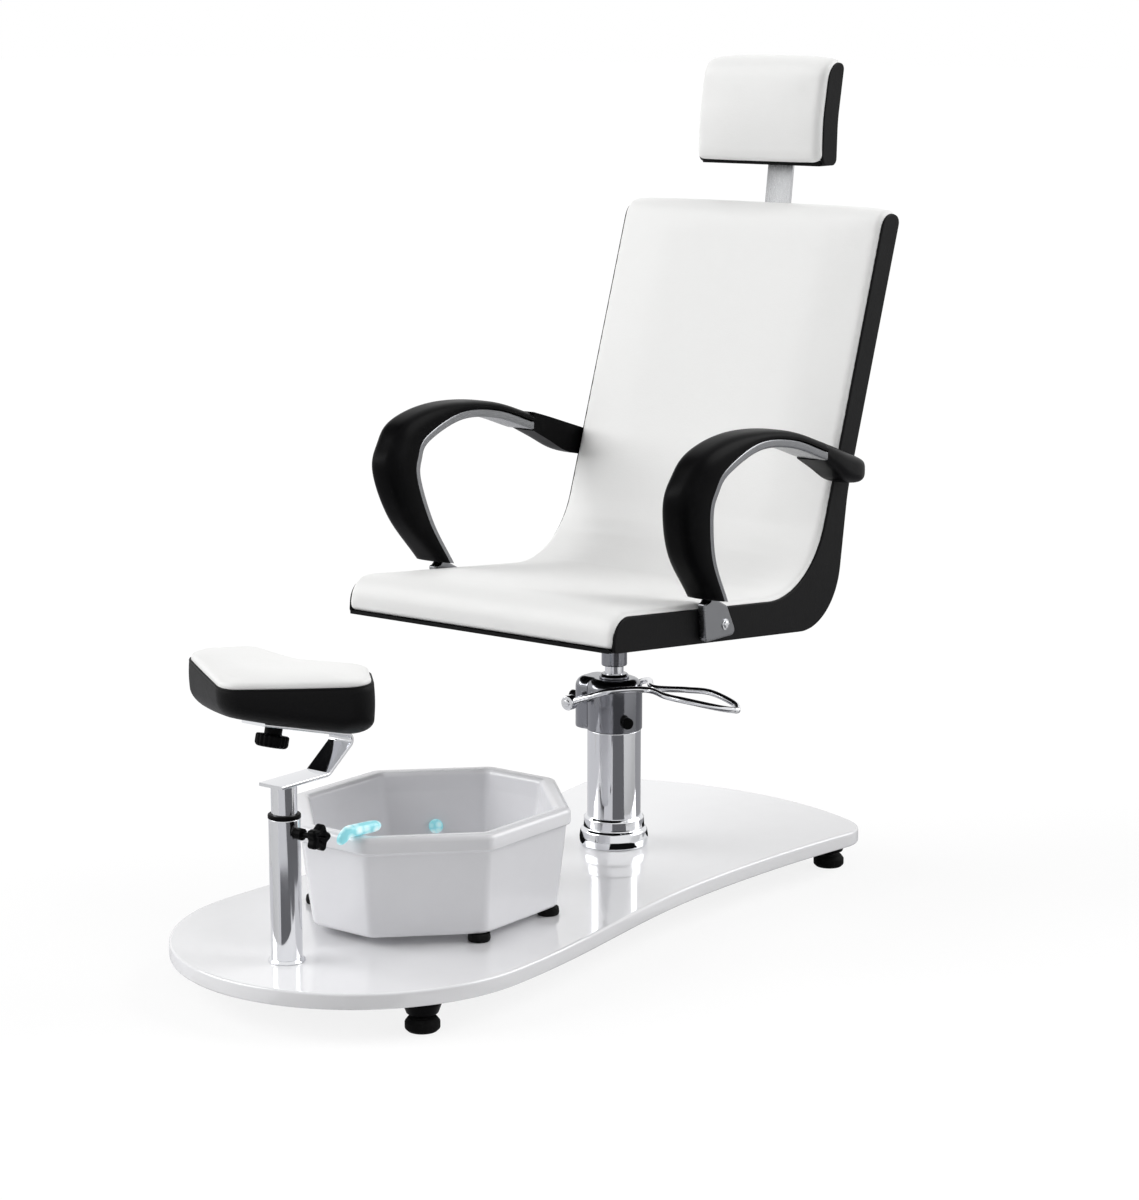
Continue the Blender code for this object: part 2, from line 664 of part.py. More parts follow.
def build_column():
    seat_z = PLATE_TOP + GAP
    inner = COLUMN_RADIUS + GAP
    collar = turned("column_collar", [
        (inner + 0.003, seat_z + COLLAR_HEIGHT), (inner + 0.005, seat_z + 0.80 * COLLAR_HEIGHT),
        (inner + 0.005, seat_z + 0.68 * COLLAR_HEIGHT), (COLLAR_RADIUS - 0.004, seat_z + 0.60 * COLLAR_HEIGHT),
        (COLLAR_RADIUS - 0.001, seat_z + 0.45 * COLLAR_HEIGHT), (COLLAR_RADIUS, seat_z + 0.26 * COLLAR_HEIGHT),
        (COLLAR_RADIUS - 0.002, seat_z), (inner, seat_z), (inner, seat_z + COLLAR_HEIGHT)], steps=48)
    attach(collar, "chrome", "chair")
    tube = turned("column_tube", ring_profile(
        COLUMN_RADIUS, COLUMN_RADIUS - COLUMN_WALL, seat_z, HEAD_BOTTOM - GAP), steps=48)
    attach(tube, "chrome", "chair")
    barrel = turned("pump_barrel", ring_profile(BARREL_RADIUS, BARREL_BORE, seat_z, HEAD_BOTTOM - GAP), steps=32)
    attach(barrel, "steel_grey", "chair")

    head = as_mesh(flat_outline("pump_head", head_outline(), HEAD_HEIGHT,
                                location=(0.0, 0.0, HEAD_BOTTOM + HEAD_HEIGHT / 2)))
    add_bevel(head, HEAD_EDGE, 3)
    cut(head, rod("ram_bore", (0, 0, HEAD_BOTTOM - HEAD_EDGE), (0, 0, HEAD_TOP + HEAD_EDGE), RAM_RADIUS + GAP, 32))
    cut(head, rod("axle_bore", (AXLE_X, -HEAD_RADIUS, AXLE_Z), (AXLE_X, HEAD_RADIUS, AXLE_Z), AXLE_RADIUS + GAP))
    attach(head, "cast_metal", "chair")
    bush = turned("gland_bush", ring_profile(
        BUSH_RADIUS, RAM_RADIUS + GAP, HEAD_TOP + GAP, HEAD_TOP + GAP + BUSH_HEIGHT), steps=32)
    attach(bush, "black_plastic", "chair")

    joint_empty("lift", "chair", (0.0, 0.0, RAM_BOTTOM))
    attach(rod("lift_ram", (0, 0, RAM_BOTTOM), (0, 0, RAM_TOP), RAM_RADIUS, 32), "chrome", "lift")
    piston_top = RAM_BOTTOM - GAP
    attach(rod("lift_piston", (0, 0, piston_top - PISTON_HEIGHT), (0, 0, piston_top), BARREL_BORE - GAP, 32),
           "steel_grey", "lift")

    joint_empty("lever", "chair", (AXLE_X, 0.0, AXLE_Z))
    hub_inner = LEVER_HALF - HUB_LENGTH / 2
    axle_end = hub_inner - GAP
    attach(rod("lever_axle", (AXLE_X, -axle_end, AXLE_Z), (AXLE_X, axle_end, AXLE_Z), AXLE_RADIUS),
           "steel_grey", "lever")
    lever = as_mesh(bent_rod("foot_lever", lever_path(), LEVER_ROD))
    for side, sign in SIDES:
        hub = rod(f"lever_hub_{side}", (AXLE_X, sign * hub_inner, AXLE_Z),
                  (AXLE_X, sign * (hub_inner + HUB_LENGTH), AXLE_Z), HUB_RADIUS)
        join(lever, hub)
    attach(lever, "chrome", "lever")


def seat_outer():
    """Underside and rear face of the seat shell, from the front edge to its upper end."""
    return rounded_chain([SEAT_FRONT, SEAT_HEEL, LUMBAR_TOP, SHELL_END], [SEAT_BEND_RADIUS, LUMBAR_BEND_RADIUS])


def seat_corners():
    """Front upper edge, inner bend and top front edge of the padding, in the YZ plane."""
    front = SEAT_FRONT + left_normal(SEAT_RUN) * SEAT_PAD
    top = BACK_TOP + left_normal(BACK_RUN) * BACK_PAD
    return front, crossing(front, SEAT_RUN, top, BACK_RUN), top


def seat_face(base):
    """Sitting side of the cushion, from its front lower edge over the top to the shell's upper end."""
    front, bend, top = seat_corners()
    corners = [SEAT_FRONT + left_normal(SEAT_RUN) * base, front, bend, top, BACK_TOP, SHELL_END + BACK_RUN * GAP]
    return rounded_chain(corners, [FRONT_ROUND, INNER_BEND_RADIUS, TOP_ROUND, TOP_ROUND], 8)


def seat_side_outline():
    """Whole side view of the seat, with the corners of the padding and the shell rounded."""
    front, bend, top = seat_corners()
    return rounded_loop(
        [SEAT_FRONT, SEAT_HEEL, LUMBAR_TOP, BACK_TOP, top, bend, front],
        [2 * SIDE_EDGE, SEAT_BEND_RADIUS, LUMBAR_BEND_RADIUS, TOP_ROUND, TOP_ROUND, INNER_BEND_RADIUS, FRONT_ROUND], 8)


def cushion(name, lower, upper, half_width, crown, run):
    """Padded solid between two chains: its face swells towards the middle and is drawn in to its side seams."""
    length = np.concatenate([[0.0], np.cumsum(np.linalg.norm(np.diff(upper, axis=0), axis=1))])
    from_end = np.minimum(length, length[-1] - length)
    ease = np.clip(from_end / run, 0.0, 1.0)
    ease = ease * ease * (3 - 2 * ease)
    rings = []
    for u in (-1.0, -0.97, -0.88, -0.70, -0.40, 0.0, 0.40, 0.70, 0.88, 0.97, 1.0):
        swell = CUSHION_EDGE + (crown - CUSHION_EDGE) * math.sqrt(1 - abs(u) ** 3)
        face = offset_chain(upper, swell * ease)
        rings.append(at_x(np.concatenate([lower, face[::-1]]), u * half_width))
    return loft(name, rings)


def build_seat():
    joint_empty("seat", "lift", (0.0, 0.0, RAM_TOP))
    half = SEAT_SIDE_X - SIDE_THICK - GAP
    outer = seat_outer()
    shell_face = offset_chain(outer, SHELL_THICK)
    shell = flat_outline("seat_shell", np.concatenate([outer, shell_face[::-1]]), 2 * half, rotation=YZ_PLANE)
    attach(shell, "black_vinyl", "seat")
    base = SHELL_THICK + GAP
    under = np.concatenate([offset_chain(outer, base)[1:], [SHELL_END + left_normal(BACK_RUN) * base + BACK_RUN * GAP]])
    attach(cushion("seat_cushion", under, seat_face(base), half, CUSHION_CROWN, CROWN_RUN), "white_vinyl", "seat")
    side_outline = seat_side_outline()
    for side, sign in SIDES:
        panel = flat_outline(f"seat_side_{side}", side_outline, SIDE_THICK, SIDE_EDGE,
                             (sign * (SEAT_SIDE_X - SIDE_THICK / 2), 0.0, 0.0), YZ_PLANE)
        attach(panel, "black_vinyl", "seat")

    seat_up = left_normal(SEAT_RUN)
    below_axis = SEAT_FRONT + SEAT_RUN * (-SEAT_FRONT_Y / math.cos(SEAT_TILT))
    middle = below_axis - seat_up * (MOUNT_THICK / 2 + GAP)
    mount = block("seat_mount", (*MOUNT_SIZE, MOUNT_THICK), (0.0, *middle), (-SEAT_TILT, 0.0, 0.0))
    hub_low = RAM_TOP - MOUNT_HUB_REACH
    join(mount, rod("mount_hub", (0, 0, hub_low), (0, 0, middle[1]), MOUNT_HUB_RADIUS, 32))
    cut(mount, rod("mount_bore", (0, 0, hub_low - MOUNT_THICK), (0, 0, RAM_TOP + GAP), RAM_RADIUS + GAP, 32))
    attach(mount, "steel_grey", "seat")


def hoop_chains():
    """Inner edge, pad seat, outward side, pad thickness and inward lean along an arm."""
    rows = smooth_rows(HOOP_STATIONS, 4)
    angle = np.radians(rows[:, 2])
    outward = np.stack([np.cos(angle), np.sin(angle)], 1)
    inner = rows[:, :2] + ARM_ORIGIN
    return inner, inner + outward * HOOP_THICK, outward, rows[:, 3], rows[:, 4]


def arm_hoop(name, middles, inner, seat):
    """Flat steel strip on edge: a rectangle carried along the hoop."""
    half = HOOP_WIDTH / 2
    rings = []
    for x, low, high in zip(middles, inner, seat):
        rings.append([(x - half, *low), (x + half, *low), (x + half, *high), (x - half, *high)])
    return loft(name, rings)


def arm_pad(name, middles, seat, outward, thickness):
    """Moulded pad: a domed section whose height follows the hoop."""
    t = np.linspace(0.0, math.pi, 11)
    across = np.sign(np.cos(t)) * np.abs(np.cos(t)) ** 0.55 * ARM_PAD_WIDTH / 2
    up = np.sin(t) ** 0.8
    rings = []
    for middle, point, direction, height in zip(middles, seat + outward * GAP, outward, thickness):
        ring = [(middle + x, *(point + direction * height * h)) for x, h in zip(across, up)]
        rings.append(ring)
    return loft(name, rings)


def arm_bracket(name, sign, front):
    """Moulded rear bracket, flat against the seat's side and rounded outside."""
    t = np.linspace(-math.pi / 2, math.pi / 2, 9)
    face = SEAT_SIDE_X + GAP
    rings = []
    for along, low, high, depth in ARM_BRACKET_SECTIONS:
        middle, half = (low + high) / 2, (high - low) / 2
        across = face + depth * np.abs(np.cos(t)) ** 0.5
        up = middle + half * np.sign(np.sin(t)) * np.abs(np.sin(t)) ** 0.6
        rings.append([(sign * x, front[0] + along, front[1] + z) for x, z in zip(across, up)])
    return loft(name, rings)


def build_arms():
    inner, seat, outward, thickness, lean = hoop_chains()
    bracket_front = ARM_ORIGIN + np.array([HOOP_STATIONS[-1][0] + GAP, 0.0])
    bolt = ARM_ORIGIN + ARM_BOLT
    plate_x = SEAT_SIDE_X + GAP + ARM_FOOT_THICK / 2
    foot_corners = ARM_ORIGIN + np.array(ARM_FOOT_CORNERS)
    for side, sign in SIDES:
        middles = sign * (SEAT_SIDE_X + ARM_CENTRE - lean)
        hoop = arm_hoop(f"arm_hoop_{side}", middles, inner, seat)
        foot = as_mesh(flat_outline(f"arm_foot_{side}", foot_corners, ARM_FOOT_THICK,
                                    location=(sign * plate_x, 0.0, 0.0), rotation=YZ_PLANE))
        join(hoop, foot)
        attach(hoop, "steel_grey", "seat")
        attach(arm_pad(f"arm_pad_{side}", middles, seat, outward, thickness), "black_plastic", "seat")
        attach(arm_bracket(f"arm_bracket_{side}", sign, bracket_front), "black_plastic", "seat")
        head = SEAT_SIDE_X + 2 * GAP + ARM_FOOT_THICK
        head_rod = rod(f"arm_bolt_{side}", (sign * head, *bolt), (sign * (head + ARM_BOLT_RADIUS * 0.7), *bolt),
                       ARM_BOLT_RADIUS, 12)
        attach(head_rod, "chrome", "seat")


def bar_offset(distance):
    """Two points on a line beside the headrest bar, a distance behind its middle plane."""
    behind = -left_normal(BAR_RUN)
    return BAR_POINT + behind * distance, BAR_RUN


def headrest_corners():
    """Front lower edge, heel, waist and top of the shell, then the top and waist of the padding."""
    lower_run = seat_direction(math.pi / 2 - HEADREST_LOWER_LEAN)
    upper_run = seat_direction(math.pi / 2 - HEADREST_UPPER_LEAN)
    front = BACK_TOP + np.array([-HEADREST_AHEAD, HEADREST_ABOVE])
    heel = front + np.array([HEADREST_DEPTH, 0.0])
    waist = heel + HEADREST_LOWER_RISE * lower_run
    top = waist + HEADREST_UPPER_RISE * upper_run
    face_top = top + left_normal(upper_run) * HEADREST_DEPTH
    face_waist = waist + left_normal(lower_run) * HEADREST_DEPTH
    return front, heel, waist, top, face_top, face_waist, upper_run


def build_headrest():
    joint_empty("headrest", "seat", (0.0, *BAR_POINT))
    foot = BAR_POINT - BAR_BELOW * BAR_RUN
    middle = (foot + BAR_TOP) / 2
    length = BAR_BELOW + BAR_ABOVE
    lean = (-BAR_LEAN, 0.0, 0.0)
    bar = block("headrest_bar", (BAR_WIDTH, BAR_THICK, length), (0.0, *middle), lean)
    attach(bar, "steel_grey", "headrest")

    front, heel, waist, top, face_top, face_waist, upper_run = headrest_corners()
    shell_end = top - upper_run * HEADREST_SHELL_DROP
    rear = rounded_chain([front, heel, waist, shell_end], [HEADREST_HEEL_ROUND, HEADREST_BEND_RADIUS], 6)
    half = HEADREST_WIDTH / 2 - SIDE_THICK - GAP
    shell = flat_outline("headrest_shell", np.concatenate([rear, offset_chain(rear, HEADREST_SHELL)[::-1]]),
                         2 * half, rotation=YZ_PLANE)
    attach(shell, "black_vinyl", "headrest")
    side_outline = rounded_loop(
        [front, heel, waist, top, face_top, face_waist],
        [2 * SIDE_EDGE, HEADREST_HEEL_ROUND, HEADREST_BEND_RADIUS, HEADREST_REAR_ROUND, HEADREST_TOP_ROUND,
         HEADREST_BEND_RADIUS], 6)
    for side, sign in SIDES:
        panel = flat_outline(f"headrest_side_{side}", side_outline, SIDE_THICK, SIDE_EDGE,
                             (sign * (HEADREST_WIDTH - SIDE_THICK) / 2, 0.0, 0.0), YZ_PLANE)
        attach(panel, "black_vinyl", "headrest")
    base = HEADREST_SHELL + GAP
    lip = shell_end + upper_run * GAP
    face = rounded_chain([front + np.array([0.0, base]), face_waist, face_top, top, lip],
                         [HEADREST_BEND_RADIUS, HEADREST_TOP_ROUND, HEADREST_REAR_ROUND], 8)
    under = np.concatenate([offset_chain(rear, base)[1:], [lip + left_normal(upper_run) * base]])
    attach(cushion("headrest_cushion", under, face, half, HEADREST_CROWN, HEADREST_RUN), "white_vinyl", "headrest")

    bar_front, run = bar_offset(-BAR_THICK / 2 - GAP)
    flat = np.array([1.0, 0.0])
    behind = offset_chain(rear, -GAP)
    levels = BAR_TOP[1] - BLOCK_TOP_DROP - np.linspace(0.0, BLOCK_HEIGHT, 6)
    corners = [(np.interp(z, behind[:, 1], behind[:, 0]), z) for z in levels]
    for z in levels[[-1, 0]]:
        corners.append(crossing(np.array([0.0, z]), flat, bar_front, run))
    attach(flat_outline("headrest_block", corners, BLOCK_WIDTH, rotation=YZ_PLANE), "black_plastic", "headrest")

    off_back = BACK_TOP - left_normal(BACK_RUN) * GAP
    bar_rear, _ = bar_offset(BAR_THICK / 2 + GUIDE_WALL)
    corners = []
    for drop in (GUIDE_DROP, GUIDE_DROP + GUIDE_HEIGHT):
        level = np.array([0.0, BACK_TOP[1] - drop])
        pair = [crossing(level, flat, off_back, BACK_RUN), crossing(level, flat, bar_rear, run)]
        corners += pair if not corners else pair[::-1]
    guide = as_mesh(flat_outline("headrest_guide", corners, GUIDE_WIDTH, rotation=YZ_PLANE))
    slot = block("guide_slot", (BAR_WIDTH + 2 * GAP, BAR_THICK + 2 * GAP, 2 * length), (0.0, *BAR_POINT), lean)
    cut(guide, slot)
    attach(guide, "black_plastic", "seat")


def star_outline():
    angles = np.linspace(0.0, 2 * math.pi, 40, endpoint=False)
    radius = STAR_RADIUS * (1 + STAR_LOBE * np.cos(STAR_LOBES * angles))
    return np.stack([radius * np.cos(angles), radius * np.sin(angles)], 1)


def strip_outline():
    """Side view of the bent strip under the footrest pad."""
    front = np.array([POST_Y - STRIP_FRONT, STRIP_SEAT_Z])
    end = STRIP_ELBOW + STRIP_TOP_RUN * STRIP_TOP_LENGTH
    middle = rounded_chain([front, STRIP_KNEE, STRIP_ELBOW, end], [STRIP_BEND_RADIUS, STRIP_BEND_RADIUS], 6)
    return np.concatenate([offset_chain(middle, -STRIP_THICK / 2), offset_chain(middle, STRIP_THICK / 2)[::-1]])


def build_post():
    centre = (0.0, POST_Y)
    seat_z = PLATE_TOP + GAP
    post_bore = POST_RADIUS - POST_WALL
    post = turned("post_tube", ring_profile(POST_RADIUS, post_bore, seat_z, POST_TOP), centre, 36)
    clamp_tip = SLIDER_RADIUS + GAP
    boss_face = POST_RADIUS + GAP
    cut(post, rod("post_screw_hole", (0, POST_Y, CLAMP_Z), (boss_face + CLAMP_BOSS_LENGTH, POST_Y, CLAMP_Z),
                  CLAMP_SCREW_RADIUS + GAP))
    attach(post, "chrome", "chair")
    inner = POST_RADIUS + GAP
    ring = turned("post_base_ring", [
        (inner + 0.001, seat_z + RING_HEIGHT), (RING_RADIUS, seat_z + RING_HEIGHT * 0.5), (RING_RADIUS, seat_z),
        (inner, seat_z), (inner, seat_z + RING_HEIGHT)], centre, 36)
    attach(ring, "chrome", "chair")

    joint_empty("post_turn", "chair", (*centre, POST_TOP))
    bush = turned("post_bush", ring_profile(
        POST_RADIUS + 0.001, SLIDER_RADIUS + GAP, POST_TOP + GAP, POST_TOP + GAP + POST_BUSH_HEIGHT), centre, 36)
    attach(bush, "black_plastic", "post_turn")
    joint_empty("footrest_slide", "post_turn", (*centre, SLIDER_BOTTOM))
    slider = turned("post_slider", ring_profile(
        SLIDER_RADIUS, SLIDER_RADIUS - SLIDER_WALL, SLIDER_BOTTOM, SLIDER_TOP), centre, 36)
    attach(slider, "chrome", "footrest_slide")

    boss = rod("clamp_boss", (POST_RADIUS * 0.9, POST_Y, CLAMP_Z),
               (boss_face + CLAMP_BOSS_LENGTH, POST_Y, CLAMP_Z), CLAMP_BOSS_RADIUS)
    cut(boss, rod("boss_seat", (0, POST_Y, CLAMP_Z - POST_RADIUS), (0, POST_Y, CLAMP_Z + POST_RADIUS), boss_face, 72))
    cut(boss, rod("boss_hole", (0, POST_Y, CLAMP_Z), (STAR_REACH, POST_Y, CLAMP_Z), CLAMP_SCREW_RADIUS + GAP))
    attach(boss, "black_plastic", "chair")
    joint_empty("clamp_turn", "chair", (boss_face + CLAMP_BOSS_LENGTH, POST_Y, CLAMP_Z))
    star = as_mesh(flat_outline("clamp_knob", star_outline(), STAR_THICK, STAR_EDGE,
                                (STAR_REACH + STAR_THICK / 2, POST_Y, CLAMP_Z), YZ_PLANE))
    join(star, rod("clamp_screw", (clamp_tip, POST_Y, CLAMP_Z), (STAR_REACH + STAR_THICK / 2, POST_Y, CLAMP_Z),
                   CLAMP_SCREW_RADIUS))
    attach(star, "black_plastic", "clamp_turn")


def pad_outline():
    """Plan of the footrest pad: a blunt arrow that points away from the sitter."""
    right = [(0.0, PAD_APEX), PAD_TIP, PAD_REAR, (0.0, PAD_NOTCH)]
    left = [(-x, y) for x, y in right[2:0:-1]]
    apex, tip, rear, notch = PAD_ROUNDS
    loop = rounded_loop(right + left, [apex, tip, rear, notch, rear, tip], 5)
    return loop + np.array([0.0, POST_Y])


def pad_ring(outline, scale, height):
    """The plan outline drawn in towards its middle, at a height given by a function of X and Y."""
    middle = np.array([0.0, POST_Y + PAD_CENTRE])
    points = middle + (outline - middle) * scale
    return [(x, y, height(x, y)) for x, y in points]


def pad_seam(x, y):
    """Height of the seam: the ends and the rear rise a little above the front."""
    along = (y - POST_Y - PAD_APEX) / (PAD_NOTCH - PAD_APEX)
    return PAD_TOP_Z + PAD_SADDLE * (x / PAD_TIP[0]) ** 2 + PAD_REAR_LIFT * along


def keel(x, y):
    """Underside of the pad: along the strip that carries it, and rising towards the tips."""
    on_strip = KEEL_POINT[1] - (y - KEEL_POINT[0]) * math.tan(STRIP_TOP_SLOPE)
    beside = max(0.0, abs(x) - STRIP_WIDTH / 2) / (PAD_TIP[0] - STRIP_WIDTH / 2)
    return on_strip + PAD_KEEL_RISE * beside ** 2


def build_footrest():
    strip = as_mesh(flat_outline("footrest_bracket", strip_outline(), STRIP_WIDTH, rotation=YZ_PLANE))
    axis = np.array([0.0, *STRIP_TOP_NORMAL])
    stud = np.array([0.0, *STUD_POINT])
    cut(strip, rod("strip_hole", stud - axis * 4 * STRIP_THICK, stud + axis * 4 * STRIP_THICK, PAD_STUD_RADIUS + GAP))
    attach(strip, "chrome", "footrest_slide")

    joint_empty("pad_turn", "footrest_slide", stud)
    outline = pad_outline()
    tray = PAD_TOP_Z - PAD_TRAY_DEPTH
    base = loft("footrest_base", [
        pad_ring(outline, PAD_KEEL_SCALE, keel),
        pad_ring(outline, 0.5 + 0.5 * PAD_KEEL_SCALE + 0.05, lambda x, y: keel(x, y) + 0.3 * PAD_TURN),
        pad_ring(outline, 1.0, lambda x, y: keel(x, y) + PAD_TURN),
        pad_ring(outline, 1.0, pad_seam),
        pad_ring(outline, PAD_RIM_SCALE, pad_seam),
        pad_ring(outline, PAD_RIM_SCALE, lambda x, y: tray)])
    keel_point = np.array([0.0, *KEEL_POINT])
    cut(base, rod("stud_hole", keel_point - axis * PAD_STUD_DEPTH, keel_point + axis * PAD_STUD_DEPTH,
                  PAD_STUD_RADIUS + GAP))
    attach(base, "black_vinyl", "pad_turn")
    inside = PAD_RIM_SCALE - 0.006
    pad = loft("footrest_cushion", [
        pad_ring(outline, inside, lambda x, y: tray + GAP),
        pad_ring(outline, inside, pad_seam),
        pad_ring(outline, inside - 0.02, lambda x, y: pad_seam(x, y) + 0.55 * PAD_CROWN),
        pad_ring(outline, inside - 0.12, lambda x, y: pad_seam(x, y) + 0.90 * PAD_CROWN),
        pad_ring(outline, 0.5, lambda x, y: pad_seam(x, y) + PAD_CROWN),
        pad_ring(outline, 0.15, lambda x, y: pad_seam(x, y) + PAD_CROWN)])
    attach(pad, "white_vinyl", "pad_turn")

    joint_empty("pad_knob_turn", "pad_turn", stud)
    under = -STRIP_THICK / 2 - GAP
    stem = under - PAD_KNOB_STEM
    low = stem - PAD_KNOB_HEIGHT
    reach = STRIP_THICK / 2 + PAD_STUD_DEPTH - GAP
    knob = turned("footrest_knob", [
        (0.0, reach), (PAD_STUD_RADIUS, reach), (PAD_STUD_RADIUS, under), (PAD_KNOB_STEM_RADIUS, under),
        (PAD_KNOB_STEM_RADIUS, stem), (PAD_KNOB_RADIUS - 0.002, stem), (PAD_KNOB_RADIUS, stem - 0.002),
        (PAD_KNOB_RADIUS, low + 0.005), (PAD_KNOB_RADIUS - 0.005, low), (0.0, low)], steps=28, closed=False)
    knob.location = stud
    knob.rotation_euler = (-STRIP_TOP_SLOPE, 0.0, 0.0)
    attach(knob, "black_plastic", "pad_knob_turn")


def bath_ring(inset, z):
    """Octagonal ring of the tub, drawn in by an inset, at one height."""
    half_x, half_y = BATH_HALF[0] - inset, BATH_HALF[1] - inset
    flat = BATH_CUT - inset * (2 - math.sqrt(2))
    corners = []
    for sx, sy in ((1, -1), (1, 1), (-1, 1), (-1, -1)):
        pair = [(sx * (half_x - flat), sy * half_y), (sx * half_x, sy * (half_y - flat))]
        corners += pair if sx * sy < 0 else pair[::-1]
    loop = rounded_loop(corners, [BATH_CORNER_ROUND] * len(corners), 2)
    return [(x, BATH_Y + y, z) for x, y in loop]


def build_bath():
    joint_empty("bath", "chair", (0.0, BATH_Y, PLATE_TOP))
    rim_low = BATH_TOP - BATH_RIM_HEIGHT
    floor = BATH_BOTTOM + BATH_FLOOR_THICK
    tub = loft("bath_tub", [
        bath_ring(BATH_LIP_INSET + BATH_TAPER + BATH_EDGE, BATH_BOTTOM),
        bath_ring(BATH_LIP_INSET + BATH_TAPER, BATH_BOTTOM + BATH_EDGE),
        bath_ring(BATH_LIP_INSET, rim_low),
        bath_ring(0.0, rim_low + BATH_EDGE / 2),
        bath_ring(0.0, BATH_TOP - BATH_EDGE),
        bath_ring(BATH_EDGE, BATH_TOP),
        bath_ring(BATH_RIM_WIDTH - BATH_EDGE, BATH_TOP),
        bath_ring(BATH_RIM_WIDTH, BATH_TOP - BATH_EDGE),
        bath_ring(BATH_RIM_WIDTH + BATH_WALL_LEAN, floor + BATH_FLOOR_ROUND),
        bath_ring(BATH_RIM_WIDTH + BATH_WALL_LEAN + BATH_FLOOR_ROUND, floor)])
    attach(tub, "white_plastic", "bath")
    foot_x, foot_y = np.array(BATH_HALF) - BATH_FOOT_INSET
    for place, along in (("front", -1), ("rear", 1)):
        for side, sign in SIDES:
            centre = (sign * foot_x, BATH_Y + along * foot_y)
            foot = rod(f"bath_foot_{place}_{side}", (*centre, PLATE_TOP + GAP), (*centre, BATH_BOTTOM - GAP),
                       BATH_FOOT_RADIUS, 16)
            attach(foot, "black_rubber", "bath")

    diagonal = math.sqrt(0.5)
    to_rear_right = np.array([-diagonal, diagonal, 0.0])
    facet = np.array([-BATH_HALF[0] + BATH_CUT / 2, BATH_Y + BATH_HALF[1] - BATH_CUT / 2, 0.0])
    wall_height = BATH_TOP - BATH_EDGE - floor - BATH_FLOOR_ROUND
    fall = (BATH_TOP - BATH_EDGE - LAMP_Z) / wall_height
    lean = math.atan2(BATH_WALL_LEAN, wall_height)
    wall = facet - to_rear_right * (BATH_RIM_WIDTH + BATH_WALL_LEAN * fall)
    into_bath = -to_rear_right * math.cos(lean) + np.array([0.0, 0.0, math.sin(lean)])
    seat = np.array([wall[0], wall[1], LAMP_Z]) + into_bath * GAP
    lamp = rod("bath_lamp", seat, seat + into_bath * LAMP_THICK, LAMP_RADIUS, 20)
    attach(add_bevel(lamp, LAMP_THICK * 0.4, 2), "cyan_lens", "bath")

    centre = (BATH_HALF[0] - BATH_CUT - LIGHT_BAR_FROM_CORNER, BATH_Y - BATH_HALF[1] + BATH_RIM_WIDTH / 2,
              BATH_TOP + GAP + LIGHT_BAR_SIZE[2] / 2)
    light = block("bath_light_bar", LIGHT_BAR_SIZE, centre, (0.0, 0.0, LIGHT_BAR_TURN))
    attach(add_bevel(light, LIGHT_BAR_SIZE[1] * 0.35, 3), "cyan_lens", "bath")


def main():
    global PARTS, CUTTERS
    clear_scene()
    PARTS = new_collection(OBJECT_NAME)
    CUTTERS = new_collection("cutters")
    make_materials()
    joint_empty("chair", None, (0.0, 0.0, 0.0))
    build_base()
    build_column()
    build_seat()
    build_arms()
    build_headrest()
    build_post()
    build_footrest()
    build_bath()
    root, _ = GROUPS["chair"]
    root.location = (0.0, PLAN_SHIFT, 0.0)


main()
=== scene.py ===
"""Looks of the pedicure chair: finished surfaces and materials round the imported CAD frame.

Metres, +Z up, in the frame's own axes: the sitter faces -Y and the sitter's left is +X.
"""

import json
import math

import bmesh
import bpy
import numpy as np
from bpy.props import FloatProperty, FloatVectorProperty, IntProperty, PointerProperty
from bpy.types import Operator, Panel, PropertyGroup
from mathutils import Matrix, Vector


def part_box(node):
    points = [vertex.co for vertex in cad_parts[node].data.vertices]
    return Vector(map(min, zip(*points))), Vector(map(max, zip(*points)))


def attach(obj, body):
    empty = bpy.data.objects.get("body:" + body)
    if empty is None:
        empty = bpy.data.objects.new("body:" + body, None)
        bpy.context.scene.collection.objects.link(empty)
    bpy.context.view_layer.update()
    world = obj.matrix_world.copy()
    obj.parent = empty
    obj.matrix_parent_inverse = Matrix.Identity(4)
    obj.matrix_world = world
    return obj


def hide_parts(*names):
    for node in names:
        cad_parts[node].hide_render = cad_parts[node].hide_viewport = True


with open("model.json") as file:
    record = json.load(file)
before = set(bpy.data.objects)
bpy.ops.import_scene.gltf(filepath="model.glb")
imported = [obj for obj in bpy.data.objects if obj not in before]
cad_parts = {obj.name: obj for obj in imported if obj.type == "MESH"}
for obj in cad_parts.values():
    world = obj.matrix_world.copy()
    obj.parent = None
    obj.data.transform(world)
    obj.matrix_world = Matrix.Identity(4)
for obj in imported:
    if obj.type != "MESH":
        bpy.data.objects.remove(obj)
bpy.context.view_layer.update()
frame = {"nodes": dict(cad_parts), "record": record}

bl_info = {
    "name": "Pedicure Chair Looks",
    "version": (1, 0, 0),
    "blender": (4, 5, 0),
    "location": "3D View > Sidebar > Chair",
    "description": "Dresses the packed pedicure chair in lacquer, chrome and vinyl, and sets its stage",
    "category": "Object",
}

BODY_OF = {node: body for body, nodes in frame["record"]["behaviour"]["bodies"].items() for node in nodes}
SIDES = (("left", 1), ("right", -1))
CORNERS = ("front_left", "front_right", "rear_left", "rear_right")
X, Y, Z = np.eye(3)
GAP = 0.0003  # clearance that touching pieces keep


def span(node):
    """Lowest and highest corner of a CAD node, as a 2 x 3 array."""
    return np.array([tuple(corner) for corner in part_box(node)])


COLUMN = span("column_tube").mean(0)
POST = span("post_tube").mean(0)
BATH = span("bath_tub").mean(0)
PLATE = span("base_plate")


# Settings

